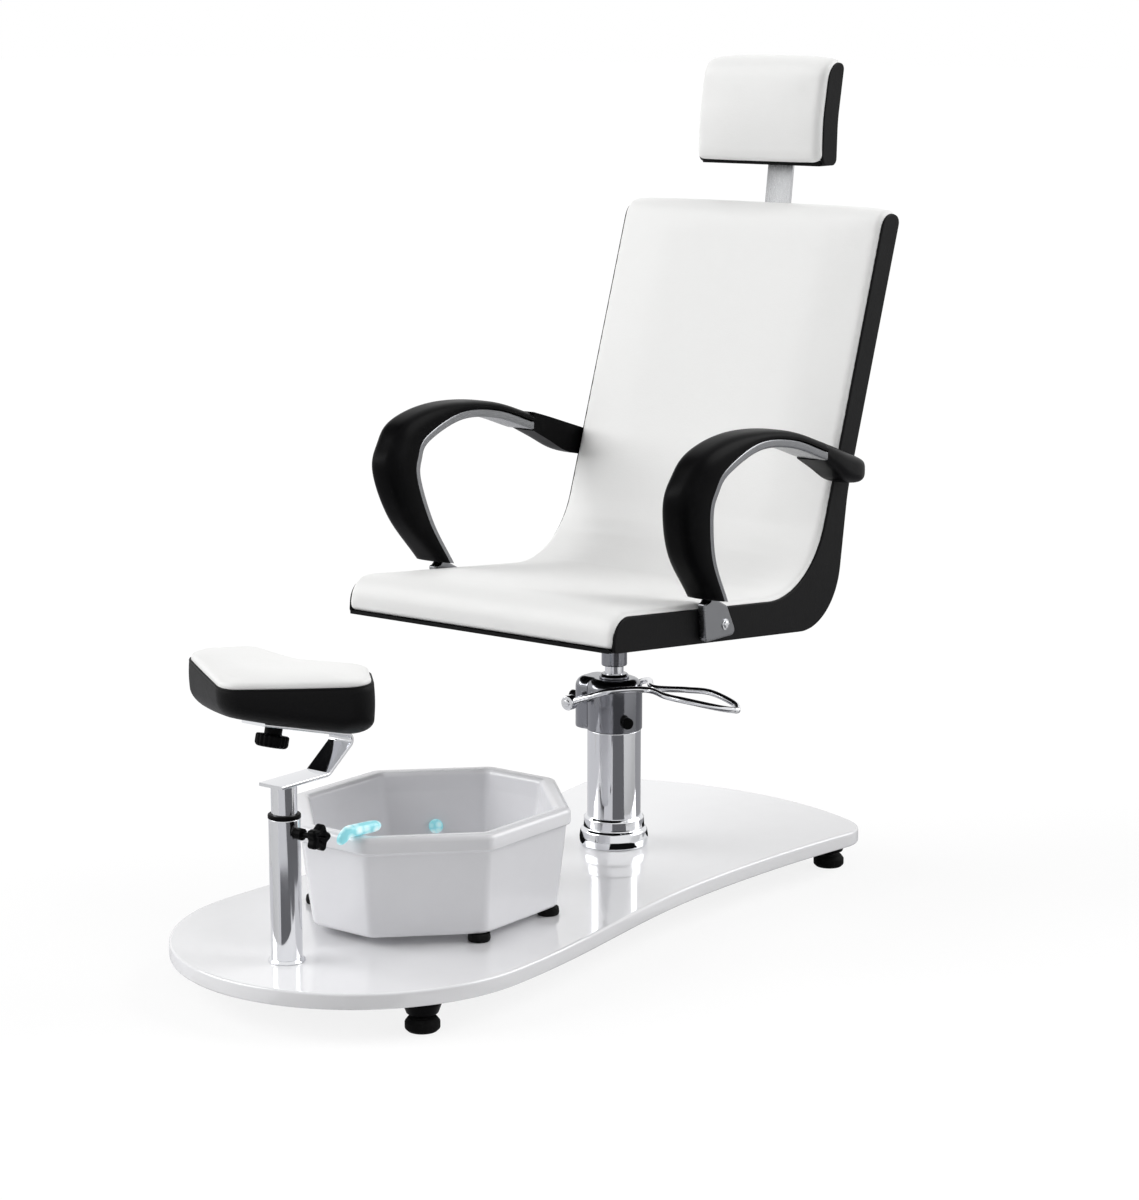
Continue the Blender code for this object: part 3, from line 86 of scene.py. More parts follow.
def srgb(code):
    """Linear RGBA of an sRGB hex value."""
    value = np.array([int(code[i:i + 2], 16) for i in (0, 2, 4)]) / 255
    flat = np.where(value <= 0.04045, value / 12.92, ((value + 0.055) / 1.055) ** 2.4)
    return (*flat.tolist(), 1.0)


def size(name, default, text):
    """A length, in metres, that can't be negative."""
    return FloatProperty(
        name=name, description=text, default=float(default), min=0.0, unit="LENGTH", precision=4)


def place(name, default, text):
    """A coordinate, in metres."""
    return FloatProperty(name=name, description=text, default=float(default), unit="LENGTH", precision=4)


def angle(name, degrees, text):
    """An angle, given in degrees."""
    return FloatProperty(name=name, description=text, default=math.radians(degrees), subtype="ANGLE")


def tint(name, code, text):
    """A colour, given as an sRGB hex value."""
    return FloatVectorProperty(
        name=name, description=text, default=srgb(code), size=4, min=0, max=1, subtype="COLOR")


def strength(name, default, text):
    """A lamp's or the sky's strength."""
    return FloatProperty(name=name, description=text, default=default, min=0.0)


class ChairColours(PropertyGroup):
    """Colours of the finishes"""
    lacquer: tint("Lacquer", "EDEDEF", "Sprayed white lacquer of the base plate")
    vinyl: tint("White vinyl", "EFEFEE", "Leathercloth of the seat, the headrest and the foot pad")
    dark_vinyl: tint("Black vinyl", "111112", "Leathercloth of the sides and the shells")
    moulding: tint("Black moulding", "080809", "Integral-skin foam of the arm pads and their brackets")
    rubber: tint("Rubber", "141414", "Glides and feet")
    chrome: tint("Chrome", "E2E3E6", "Plated tube, collar, ram, post and lever")
    steel: tint("Satin steel", "949598", "Brushed steel of the arm hoops")
    # The headrest bar's steel is the hoops' steel made lighter: painted light
    painted_lit_steel: tint("Bright steel", "D0D1D3", "Brushed steel of the headrest bar")
    casting: tint("Casting", "8A8B90", "Dark plated casting of the pump head")
    tub: tint("Tub plastic", "E6E6E9", "Glossy moulded plastic of the foot bath")
    glow: tint("Lens", "86CDD6", "Cyan of the bath's lit lenses")


class PlateSizes(PropertyGroup):
    """Base plate and its levelling feet"""
    nose_radius: size("Nose radius", 0.284, "Radius of the plate's round front")
    waist_half: size("Waist", 0.243, "Half width at the waist")
    tail_half: size("Tail", 0.281, "Half width at the rear corners")
    tail_round: size("Tail corner", 0.050, "Rounding of the rear corners")
    edge: size("Edge", 0.0035, "Rounding of the plate's edges")
    glide_radius: size("Glide", 0.025, "Radius of a levelling foot's glide")
    socket_radius: size("Socket", 0.028, "Radius of a foot's socket at the plate")


class ColumnSizes(PropertyGroup):
    """Hydraulic column and its foot lever"""
    tube_radius: size("Tube", 0.043, "Radius of the column's tube")
    collar_radius: size("Collar", 0.0555, "Radius of the collar at the plate")
    head_radius: size("Head", 0.045, "Radius of the pump head's round body")
    lobe_reach: size("Lobe reach", 0.064, "Reach of the head's lobe from the axis")
    lobe_half: size("Lobe", 0.034, "Half width of the lobe that carries the axle")
    ram_radius: size("Ram", 0.015, "Radius of the lift ram")
    rod_radius: size("Lever rod", 0.005, "Radius of the lever's bent rod")
    hub_radius: size("Lever hub", 0.012, "Radius of the lever's hubs")


class SeatSizes(PropertyGroup):
    """Seat and back in side view, and their padding"""
    width: size("Width", 0.512, "Width over the side panels")
    front: place("Front", -0.352, "Front lower edge, along Y from the column's axis")
    height: size("Height", 0.475, "Height of the front lower edge")
    depth: size("Depth", 0.604, "Length of the seat's underside")
    tilt: angle("Tilt", 5.5, "Fall of the seat towards the back")
    lumbar_lean: angle("Lumbar lean", 9.0, "Lean of the lower back")
    lumbar_rise: size("Lumbar rise", 0.223, "Length of the lower back")
    back_lean: angle("Back lean", 18.7, "Lean of the upper back")
    back_rise: size("Back rise", 0.455, "Length of the upper back")
    seat_pad: size("Seat padding", 0.058, "Thickness of the seat with its shell")
    back_pad: size("Back padding", 0.052, "Thickness of the back with its shell")
    crown: size("Crown", 0.012, "How far the padding stands up in the middle")
    tuck: size("Tuck", 0.0045, "How far the side panels end below the padding's edge")
    edge: size("Edge", 0.006, "Rounding of the padding's side edges")
    voxel: size("Voxel", 0.0085, "Mesh step of the seat cushion before it is inflated")
    swell: size("Swell", 0.005, "Furthest that inflation may move the seat's padding")


class ArmSizes(PropertyGroup):
    """Arm hoops and their pads"""
    hoop_width: size("Hoop width", 0.058, "Width of the steel hoop")
    hoop_thick: size("Hoop thickness", 0.014, "Thickness of the steel hoop")
    pad_width: size("Pad width", 0.062, "Width of the moulded arm pad")
    out: size("Set out", 0.032, "From the seat's side to the hoop's middle at its top")


class HeadrestSizes(PropertyGroup):
    """Headrest, and the mesh of the small cushions"""
    width: size("Width", 0.246, "Width over the side panels")
    ahead: size("Ahead", 0.039, "Front lower edge ahead of the back's top")
    above: size("Above", 0.0737, "Front lower edge above the back's top")
    depth: size("Depth", 0.053, "Thickness of the headrest")
    crown: size("Crown", 0.010, "How far its padding stands out in the middle")
    tuck: size("Tuck", 0.009, "How far its side panels end below the padding's edge")
    edge: size("Edge", 0.012, "Rounding of its padding's side edges")
    voxel: size("Voxel", 0.0045, "Mesh step of the small cushions before they are inflated")
    swell: size("Swell", 0.004, "Furthest that inflation may move the small cushions")


class FootrestSizes(PropertyGroup):
    """Footrest post, clamp, strip and pad"""
    post_radius: size("Post", 0.0225, "Radius of the footrest's post")
    slider_radius: size("Slider", 0.0185, "Radius of the sliding tube")
    star_radius: size("Knob", 0.017, "Mean radius of the star knob")
    star_lobes: IntProperty(name="Knob lobes", description="Lobes of the star knob", default=5, min=3, max=9)
    strip_width: size("Strip width", 0.044, "Width of the bent strip")
    strip_thick: size("Strip thickness", 0.005, "Thickness of the bent strip")
    pad_crown: size("Pad crown", 0.018, "How far the foot pad stands up in the middle")


class BathSizes(PropertyGroup):
    """Octagonal foot bath"""
    half_width: size("Half width", 0.192, "Half of the tub's width over the rim")
    half_length: size("Half length", 0.223, "Half of the tub's length over the rim")
    cut: size("Corner cut", 0.130, "Leg of each cut-off corner")
    corner: size("Corner round", 0.018, "Rounding of the tub's upright edges")
    rim_width: size("Rim width", 0.024, "Width of the rolled rim")
    rim_height: size("Rim height", 0.024, "Height of the rolled rim")


class StageSettings(PropertyGroup):
    """Light and camera"""
    sky: strength("Sky", 0.41, "Strength of the even light from all round")
    key: strength("Key", 2.1, "Strength of the soft lamp at the left front")
    side: strength("Side", 1.8, "Strength of the soft lamp at the right rear")
    lens: FloatProperty(
        name="Lens", description="Focal length in millimetres", default=91.24, subtype="DISTANCE_CAMERA")


SETTINGS = {
    "chair_colours": ChairColours, "chair_plate": PlateSizes, "chair_column": ColumnSizes,
    "chair_seat": SeatSizes, "chair_arms": ArmSizes, "chair_headrest": HeadrestSizes,
    "chair_footrest": FootrestSizes, "chair_bath": BathSizes, "chair_stage": StageSettings,
}


# Lines and surfaces

def unit(vectors):
    """Vectors divided by their lengths."""
    return vectors / np.linalg.norm(vectors, axis=-1, keepdims=True)


def direction(from_y):
    """Unit vector (Y, Z) at an angle above +Y."""
    return np.array([math.cos(from_y), math.sin(from_y)])


def left_of(run):
    """A direction (Y, Z) turned a quarter turn to its left."""
    return np.array([-run[1], run[0]])


def crossing(a, run_a, b, run_b):
    """Where two lines in a plane meet."""
    along, _ = np.linalg.solve(np.stack([run_a, -run_b], 1), b - a)
    return a + along * run_a


def corner_arc(before, corner, after, radius, steps):
    """Arc that rounds a corner: its centre is on the bisector, at radius / sin(half the corner's angle)."""
    before, corner, after = (np.asarray(p, float) for p in (before, corner, after))
    a, b = unit(before - corner), unit(after - corner)
    half = 0.5 * math.acos(float(np.clip(a @ b, -1.0, 1.0)))
    centre = corner + unit(a + b) * radius / math.sin(half)
    first, last = (corner + leg * radius / math.tan(half) - centre for leg in (a, b))
    sweep_angle = math.atan2(first[0] * last[1] - first[1] * last[0], first @ last)
    turn = math.atan2(first[1], first[0]) + sweep_angle * np.linspace(0.0, 1.0, steps + 1)
    return centre + radius * np.stack([np.cos(turn), np.sin(turn)], 1)


def rounded_chain(corners, radii, steps=12):
    """Open line through corners, with an arc in place of each inner corner that has a radius."""
    legs = [np.atleast_2d(np.asarray(corners[0], float))]
    for before, corner, after, radius in zip(corners, corners[1:], corners[2:], radii):
        legs.append(corner_arc(before, corner, after, radius, steps) if radius else np.atleast_2d(corner))
    legs.append(np.atleast_2d(np.asarray(corners[-1], float)))
    return np.concatenate(legs)


def rounded_loop(corners, radii, steps=8):
    """Closed line through corners, with an arc in place of each corner."""
    count = len(corners)
    return np.concatenate([
        corner_arc(corners[i - 1], corners[i], corners[(i + 1) % count], radii[i], steps)
        for i in range(count)])


def spline(rows, samples):
    """Catmull-Rom curve through table rows: each span is a cubic whose end slopes join its neighbours."""
    rows = np.asarray(rows, float)
    padded_rows = np.concatenate([2 * rows[:1] - rows[1:2], rows, 2 * rows[-1:] - rows[-2:-1]])
    a, b, c, d = (padded_rows[i:len(rows) - 1 + i, None] for i in range(4))
    t = np.linspace(0.0, 1.0, samples, endpoint=False)[None, :, None]
    spans = 0.5 * (2 * b + (c - a) * t + (2 * a - 5 * b + 4 * c - d) * t ** 2
                   + (3 * b - 3 * c + d - a) * t ** 3)
    return np.concatenate([spans.reshape(-1, rows.shape[1]), rows[-1:]])


def lengths(points):
    """Length along a line of points, from its start."""
    return np.concatenate([[0.0], np.cumsum(np.linalg.norm(np.diff(points, axis=0), axis=1))])


def even(points, count, closed=False):
    """The same line in equal steps of length."""
    if closed:
        points = np.concatenate([points, points[:1]])
    at = lengths(points)
    steps = np.linspace(0.0, at[-1], count, endpoint=not closed)
    return np.stack([np.interp(steps, at, column) for column in points.T], 1)


def shifted(points, distance):
    """Open line moved to its left by a distance, or by a distance for each point."""
    run = unit(np.gradient(points, axis=0))
    return points + np.stack([-run[:, 1], run[:, 0]], 1) * np.broadcast_to(distance, len(points))[:, None]


def loop_normals(loop):
    """Outward unit normals of a closed line that runs anticlockwise."""
    run = unit(np.roll(loop, -1, 0) - np.roll(loop, 1, 0))
    return np.stack([run[:, 1], -run[:, 0]], 1)


def anticlockwise(loop):
    """A closed line, turned round if its signed area is negative."""
    area = np.sum(loop[:, 0] * np.roll(loop[:, 1], -1) - loop[:, 1] * np.roll(loop[:, 0], -1))
    return loop if area > 0 else loop[::-1]


def in_yz(points, x):
    """YZ points as 3D points at one X."""
    return np.concatenate([np.full(points.shape[:-1] + (1,), x), points], -1)


def held_legs(profile, grip=0.001):
    """Line with a point near each end of every long leg, so that smooth shading keeps the leg straight."""
    run = np.diff(profile, axis=0)
    length = np.linalg.norm(run, axis=1)
    long = np.flatnonzero(length > 6 * grip)
    step = run[long] * (grip / length[long])[:, None]
    extra = np.stack([profile[long] + step, profile[long + 1] - step], 1).reshape(-1, 2)
    return np.insert(profile, np.repeat(long + 1, 2), extra, axis=0)


def turned(profile, centre, axis=Z, steps=96):
    """Profile of (radius, height) turned round an axis: centre + r cos(t) e1 + r sin(t) e2 + h axis."""
    profile, axis = held_legs(np.asarray(profile, float)), unit(np.asarray(axis, float))
    e1 = unit(np.cross(axis, X if abs(axis[0]) < 0.9 else Y))
    t = np.linspace(0.0, 2 * math.pi, steps, endpoint=False)
    round_axis = np.cos(t)[:, None] * e1 + np.sin(t)[:, None] * np.cross(axis, e1)
    return np.asarray(centre) + profile[:, None, :1] * round_axis + profile[:, None, 1:] * axis


def slab(outline, section):
    """Closed outline carried up a section of (inset, height): outline - inset * normal, at that height."""
    section = np.asarray(section, float)
    plan = outline[None] - section[:, :1, None] * loop_normals(outline)[None]
    height = np.broadcast_to(section[:, 1:, None], plan.shape[:2] + (1,))
    return np.concatenate([plan, height], -1)


def plate_section(bottom, top, edge, steps=6):
    """Section of a flat plate: (inset, height) round both edges, in quarter rounds.

    A ring just inside each edge keeps the face flat.
    """
    t = np.linspace(0.0, math.pi / 2, steps + 1)
    lower = np.stack([edge * (1 - np.sin(t)), bottom + edge * (1 - np.cos(t))], 1)
    upper = np.stack([edge * (1 - np.cos(t)), top - edge * (1 - np.sin(t))], 1)
    return np.concatenate([[(edge + 0.001, bottom)], lower, upper, [(edge + 0.001, top)]])


def sweep(path, section, side):
    """Section of (a, b) carried along a path: path + a * side + b * (tangent x side)."""
    tangent = unit(np.gradient(path, axis=0))
    side = np.broadcast_to(np.asarray(side, float), path.shape)
    side = unit(side - np.sum(side * tangent, 1, keepdims=True) * tangent)
    other = np.cross(tangent, side)
    return path[:, None] + section[None, :, :1] * side[:, None] + section[None, :, 1:] * other[:, None]


def rounded_ends(grid, reach, steps=5):
    """Adds rows that close a grid's ends in a quarter round: rings shrink to their middle as they go out."""
    t = np.linspace(0.0, math.pi / 2, steps + 1)[1:, None, None]
    parts = []
    for ring, inner in ((grid[0], grid[1]), (grid[-1], grid[-2])):
        middle = ring.mean(0)
        out = unit(middle - inner.mean(0))
        parts.append(middle + (ring - middle)[None] * np.cos(t) + out * reach * np.sin(t))
    return np.concatenate([parts[0][::-1], grid, parts[1]])


def circle(radius, steps=24):
    """Closed section: radius * (cos t, sin t) over even steps of a turn."""
    t = np.linspace(0.0, 2 * math.pi, steps, endpoint=False)
    return radius * np.stack([np.cos(t), np.sin(t)], 1)


def box_section(width, height, edge, steps=4):
    """Rectangle with rounded corners, as a closed section."""
    w, h = width / 2, height / 2
    return rounded_loop([(-w, -h), (w, -h), (w, h), (-w, h)], [edge] * 4, steps)


def grid_quads(rows, columns):
    """Quads of a grid closed across its columns, with the row and unwrapped column of each corner."""
    r, c = np.meshgrid(np.arange(rows - 1), np.arange(columns), indexing="ij")
    row = np.stack([r, r, r + 1, r + 1], -1).reshape(-1, 4)
    column = np.stack([c, c + 1, c + 1, c], -1).reshape(-1, 4)
    return row * columns + column % columns, row, column


# Pieces

def piece(name, grids, slot, stands_for=(), body=None, crease=32.0):
    """One mesh piece from grids of points (rows x columns x 3), closed across columns and capped at the ends.

    Its UV map runs along the rows and round the columns, in metres. Doubled points at poles are merged and
    faces are turned outwards. It rides with the CAD nodes that it stands for, or with a body.
    """
    points, faces, uv, start = [], [], [], 0
    for grid in grids:
        rows, columns = grid.shape[:2]
        quads, row, column = grid_quads(rows, columns)
        along = lengths(grid.mean(1))
        round_it = np.concatenate([[0.0], np.cumsum(
            np.linalg.norm(np.roll(grid, -1, 1) - grid, axis=2).mean(0))])
        uv.append(np.stack([along[row], round_it[column]], -1).reshape(-1, 2))
        faces += (quads + start).tolist()
        ends = np.arange(columns) + start
        faces += [ends[::-1].tolist(), (ends + (rows - 1) * columns).tolist()]
        uv.append(np.zeros((2 * columns, 2)))
        points.append(grid.reshape(-1, 3))
        start += rows * columns
    mesh = bpy.data.meshes.new(name)
    mesh.from_pydata(np.concatenate(points).tolist(), [], faces)
    mesh.uv_layers.new(name="Surface").data.foreach_set("uv", np.concatenate(uv).ravel())
    shape = bmesh.new()
    shape.from_mesh(mesh)
    bmesh.ops.remove_doubles(shape, verts=shape.verts, dist=2e-6)
    bmesh.ops.recalc_face_normals(shape, faces=shape.faces)
    shape.to_mesh(mesh)
    shape.free()
    mesh.shade_smooth()
    mesh.set_sharp_from_angle(angle=math.radians(crease))
    obj = bpy.data.objects.new(name, mesh)
    bpy.context.scene.collection.objects.link(obj)
    mesh.materials.append(finish(slot))
    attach(obj, body or BODY_OF[stands_for[0]])
    if stands_for:
        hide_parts(*stands_for)
    return obj


def baked(obj):
    """The object's mesh with its modifiers applied."""
    return bpy.data.meshes.new_from_object(obj.evaluated_get(bpy.context.evaluated_depsgraph_get()))


def coordinates(mesh):
    """A mesh's points, one row each."""
    flat = np.empty(len(mesh.vertices) * 3)
    mesh.vertices.foreach_get("co", flat)
    return flat.reshape(-1, 3)


def relaxed(mesh, values, rounds):
    """Values at the points moved halfway to the mean of their neighbours', a number of times."""
    edges = np.empty(len(mesh.edges) * 2, int)
    mesh.edges.foreach_get("vertices", edges)
    a, b = edges.reshape(-1, 2).T
    here, there = np.concatenate([a, b]), np.concatenate([b, a])
    count = np.bincount(here, minlength=len(values))[:, None]
    for _ in range(rounds):
        total = np.stack([np.bincount(here, values[there, k], len(values)) for k in range(3)], 1)
        values = 0.5 * values + 0.5 * total / count
    return values


FRAMES = 20  # how long a cushion is blown up
PRESSURE = 4.0
EVENINGS = 6  # how often a cloth step is evened out with its neighbours'


def inflate(obj, voxel, swell, loose):
    """Turns a closed form into a stuffed cushion.

    The form is remeshed in voxels, evened out, laid back onto the form and blown up as cloth, held where
    loose(points) is under a half. Each point then moves by its cloth step, cut to the swell, scaled by loose
    and evened out with its neighbours' steps.
    """
    slot_material = obj.data.materials[0]
    form = bpy.data.objects.new("form", obj.data)
    bpy.context.scene.collection.objects.link(form)
    remesh = obj.modifiers.new("Voxels", "REMESH")
    remesh.mode = "VOXEL"
    remesh.voxel_size = voxel
    ease = obj.modifiers.new("Even", "SMOOTH")
    ease.iterations = 4
    fit = obj.modifiers.new("Fit", "SHRINKWRAP")
    fit.target = form
    obj.data = baked(obj)
    obj.modifiers.clear()
    bpy.data.meshes.remove(form.data)
    rest = coordinates(obj.data)
    weight = loose(rest)
    held = obj.vertex_groups.new(name="held")
    held.add(np.flatnonzero(weight < 0.5).tolist(), 1.0, "REPLACE")
    cloth = obj.modifiers.new("Air", "CLOTH")
    cloth.settings.vertex_group_mass = "held"
    cloth.settings.use_pressure = True
    cloth.settings.uniform_pressure_force = PRESSURE
    cloth.settings.effector_weights.gravity = 0.0
    cloth.point_cache.frame_end = FRAMES
    for step in range(1, FRAMES + 1):
        bpy.context.scene.frame_set(step)
    blown = baked(obj)
    move = coordinates(blown) - rest
    far = np.linalg.norm(move, axis=1, keepdims=True)
    move *= np.minimum(1.0, swell / np.maximum(far, 1e-9)) * weight[:, None]
    obj.modifiers.clear()
    obj.vertex_groups.clear()
    obj.data.vertices.foreach_set("co", (rest + relaxed(obj.data, move, EVENINGS)).ravel())
    obj.data.update()
    bpy.data.meshes.remove(blown)
    bpy.context.scene.frame_set(1)
    obj.data.shade_smooth()
    obj.data.materials.clear()
    obj.data.materials.append(slot_material)
    subdivide = obj.modifiers.new("Smooth", "SUBSURF")
    subdivide.levels = subdivide.render_levels = 1
    return obj


# Finishes

MADE = {}  # materials made so far, by slot


def finish(slot):
    """The material of a slot, made once."""
    if slot not in MADE:
        MADE[slot] = RECIPES[slot](bpy.context.scene.chair_colours)
    return MADE[slot]


def add(tree, kind, values=None, links=None, **settings):
    """Adds a node: settings are its attributes, values go on its inputs and links join outputs to inputs."""
    new = tree.nodes.new(kind)
    for key, value in settings.items():
        setattr(new, key, value)
    for key, value in (values or {}).items():
        new.inputs[key].default_value = value
    for key, source in (links or {}).items():
        tree.links.new(source, new.inputs[key])
    return new


def blank(name):
    """A node material with nothing in it but its Object and UV coordinates."""
    material = bpy.data.materials.new(name)
    material.use_nodes = True
    tree = material.node_tree
    tree.nodes.clear()
    return material, tree, add(tree, "ShaderNodeTexCoord")


def per_mm(millimetres):
    """Texture scale for a feature of that width."""
    return 1000.0 / millimetres


def shade(colour, factor):
    """A colour times a factor, opaque."""
    return (*(np.array(colour[:3]) * factor).tolist(), 1.0)


def leathercloth(name, colour, dark, rough, pebble_depth, sheen):
    """PVC leathercloth, calendered with a pebble grain: a broad soft gloss, broken up by the grain.

    Its tone drifts a little over a hand's width. The real grain is 1 mm, drawn at 3 mm so that it shows.
    """
    material, tree, at = blank(name)
    pebble = add(tree, "ShaderNodeTexVoronoi", {"Scale": per_mm(3.0), "Smoothness": 0.6},
                 {"Vector": at.outputs["Object"]}, feature="SMOOTH_F1")
    drift = add(tree, "ShaderNodeTexNoise", {"Scale": per_mm(120.0), "Detail": 3.0},
                {"Vector": at.outputs["Object"]})
    pull = add(tree, "ShaderNodeTexNoise", {"Scale": per_mm(45.0), "Detail": 2.0, "Distortion": 0.6},
               {"Vector": at.outputs["Object"]})
    grain = add(tree, "ShaderNodeBump", {"Strength": 0.25, "Distance": pebble_depth},
                {"Height": pebble.outputs["Distance"]})
    skin = add(tree, "ShaderNodeBump", {"Strength": 0.35, "Distance": 0.0012},
               {"Height": pull.outputs["Fac"], "Normal": grain.outputs["Normal"]})
    tone = add(tree, "ShaderNodeMix", {6: shade(colour, dark), 7: tuple(colour)}, {0: drift.outputs["Fac"]},
               data_type="RGBA")
    gloss = add(tree, "ShaderNodeMapRange", {"To Min": rough - 0.07, "To Max": rough + 0.07},
                {"Value": drift.outputs["Fac"]})
    shader = add(tree, "ShaderNodeBsdfPrincipled", {"IOR": 1.52, "Specular IOR Level": sheen},
                 {"Base Color": tone.outputs[2], "Roughness": gloss.outputs["Result"],
                  "Normal": skin.outputs["Normal"]})
    add(tree, "ShaderNodeOutputMaterial", None, {"Surface": shader.outputs["BSDF"]})
    return material


def white_vinyl(colours):
    """White leathercloth of the cushions: pale and satin."""
    return leathercloth("white_leathercloth", colours.vinyl, 0.965, 0.46, 0.00035, 0.40)


def black_vinyl(colours):
    """Black leathercloth of the sides and shells: near black, with little gloss."""
    return leathercloth("black_leathercloth", colours.dark_vinyl, 0.72, 0.45, 0.00050, 0.08)


def moulded(name, colour, rough, ripple, scuff):
    """Moulded black skin: even and deep, a close gloss with a faint ripple from the mould.

    It has lighter scuffs where it is handled. The ripple is 6 mm, about what integral-skin foam shows.
    """
    material, tree, at = blank(name)
    wave = add(tree, "ShaderNodeTexNoise", {"Scale": per_mm(6.0), "Detail": 2.0},
               {"Vector": at.outputs["Object"]})
    rub = add(tree, "ShaderNodeTexNoise", {"Scale": per_mm(35.0), "Detail": 6.0, "Roughness": 0.65},
              {"Vector": at.outputs["Object"]})
    worn = add(tree, "ShaderNodeMapRange", {"From Min": 0.52, "From Max": 0.78},
               {"Value": rub.outputs["Fac"]})
    tone = add(tree, "ShaderNodeMix", {6: tuple(colour), 7: shade(colour, scuff)},
               {0: worn.outputs["Result"]}, data_type="RGBA")
    gloss = add(tree, "ShaderNodeMapRange", {"To Min": rough, "To Max": rough + 0.12},
                {"Value": rub.outputs["Fac"]})
    bump = add(tree, "ShaderNodeBump", {"Strength": ripple, "Distance": 0.0004},
               {"Height": wave.outputs["Fac"]})
    shader = add(tree, "ShaderNodeBsdfPrincipled", {"IOR": 1.49, "Specular IOR Level": 0.04},
                 {"Base Color": tone.outputs[2], "Roughness": gloss.outputs["Result"],
                  "Normal": bump.outputs["Normal"]})
    add(tree, "ShaderNodeOutputMaterial", None, {"Surface": shader.outputs["BSDF"]})
    return material


def black_plastic(colours):
    """Integral-skin foam and like mouldings: deep black with a close gloss."""
    return moulded("integral_skin_foam", colours.moulding, 0.30, 0.10, 2.2)


def black_rubber(colours):
    """Moulded rubber of the feet: dull black with a stronger ripple."""
    return moulded("moulded_rubber", colours.rubber, 0.55, 0.30, 2.6)


def chrome(colours):
    """Chrome plate over polished tube: a clear mirror, dulled in places by a film of fingerprints."""
    material, tree, at = blank("chrome_plate")
    film = add(tree, "ShaderNodeTexNoise", {"Scale": per_mm(60.0), "Detail": 5.0, "Distortion": 0.8},
               {"Vector": at.outputs["Object"]})
    gloss = add(tree, "ShaderNodeMapRange",
                {"From Min": 0.35, "From Max": 0.75, "To Min": 0.045, "To Max": 0.12},
                {"Value": film.outputs["Fac"]})
    shader = add(tree, "ShaderNodeBsdfPrincipled", {"Base Color": tuple(colours.chrome), "Metallic": 1.0},
                 {"Roughness": gloss.outputs["Result"]})
    add(tree, "ShaderNodeOutputMaterial", None, {"Surface": shader.outputs["BSDF"]})
    return material


def brushed(name, colour):
    """Satin steel, brushed along its length: fine lines drag the highlights out across the strip.

    The lines are 0.3 mm wide, drawn at 1.2 mm so that they show.
    """
    material, tree, at = blank(name)
    drawn = add(tree, "ShaderNodeMapping", {"Scale": (per_mm(60.0), per_mm(1.2), 1.0)},
                {"Vector": at.outputs["UV"]})
    lines = add(tree, "ShaderNodeTexNoise", {"Scale": 1.0, "Detail": 4.0, "Roughness": 0.7},
                {"Vector": drawn.outputs["Vector"]})
    tone = add(tree, "ShaderNodeMix", {6: shade(colour, 0.78), 7: tuple(colour)},
               {0: lines.outputs["Fac"]}, data_type="RGBA")
    gloss = add(tree, "ShaderNodeMapRange", {"To Min": 0.20, "To Max": 0.36}, {"Value": lines.outputs["Fac"]})
    bump = add(tree, "ShaderNodeBump", {"Strength": 0.12, "Distance": 0.0002},
               {"Height": lines.outputs["Fac"]})
    shader = add(tree, "ShaderNodeBsdfPrincipled", {"Metallic": 1.0},
                 {"Base Color": tone.outputs[2], "Roughness": gloss.outputs["Result"],
                  "Normal": bump.outputs["Normal"]})
    add(tree, "ShaderNodeOutputMaterial", None, {"Surface": shader.outputs["BSDF"]})
    return material


def steel_grey(colours):
    """Satin steel of the arm hoops: mid grey."""
    return brushed("brushed_satin_steel", colours.steel)


def painted_lit_steel(colours):
    """The same steel on the headrest's bar in a lighter colour: painted light, a lit copy of the hoops'
    steel.
    """
    return brushed("brushed_steel_painted_lit", colours.painted_lit_steel)


def cast_metal(colours):
    """Polished and plated casting: a mirror over a slightly uneven ground, where reflections swim."""
    material, tree, at = blank("plated_casting")
    ground = add(tree, "ShaderNodeTexNoise", {"Scale": per_mm(14.0), "Detail": 2.0},
                 {"Vector": at.outputs["Object"]})
    film = add(tree, "ShaderNodeTexNoise", {"Scale": per_mm(40.0), "Detail": 5.0},
               {"Vector": at.outputs["Object"]})
    gloss = add(tree, "ShaderNodeMapRange", {"To Min": 0.07, "To Max": 0.18}, {"Value": film.outputs["Fac"]})
    bump = add(tree, "ShaderNodeBump", {"Strength": 0.10, "Distance": 0.0010},
               {"Height": ground.outputs["Fac"]})
    shader = add(tree, "ShaderNodeBsdfPrincipled", {"Base Color": tuple(colours.casting), "Metallic": 1.0},
                 {"Roughness": gloss.outputs["Result"], "Normal": bump.outputs["Normal"]})
    add(tree, "ShaderNodeOutputMaterial", None, {"Surface": shader.outputs["BSDF"]})
    return material


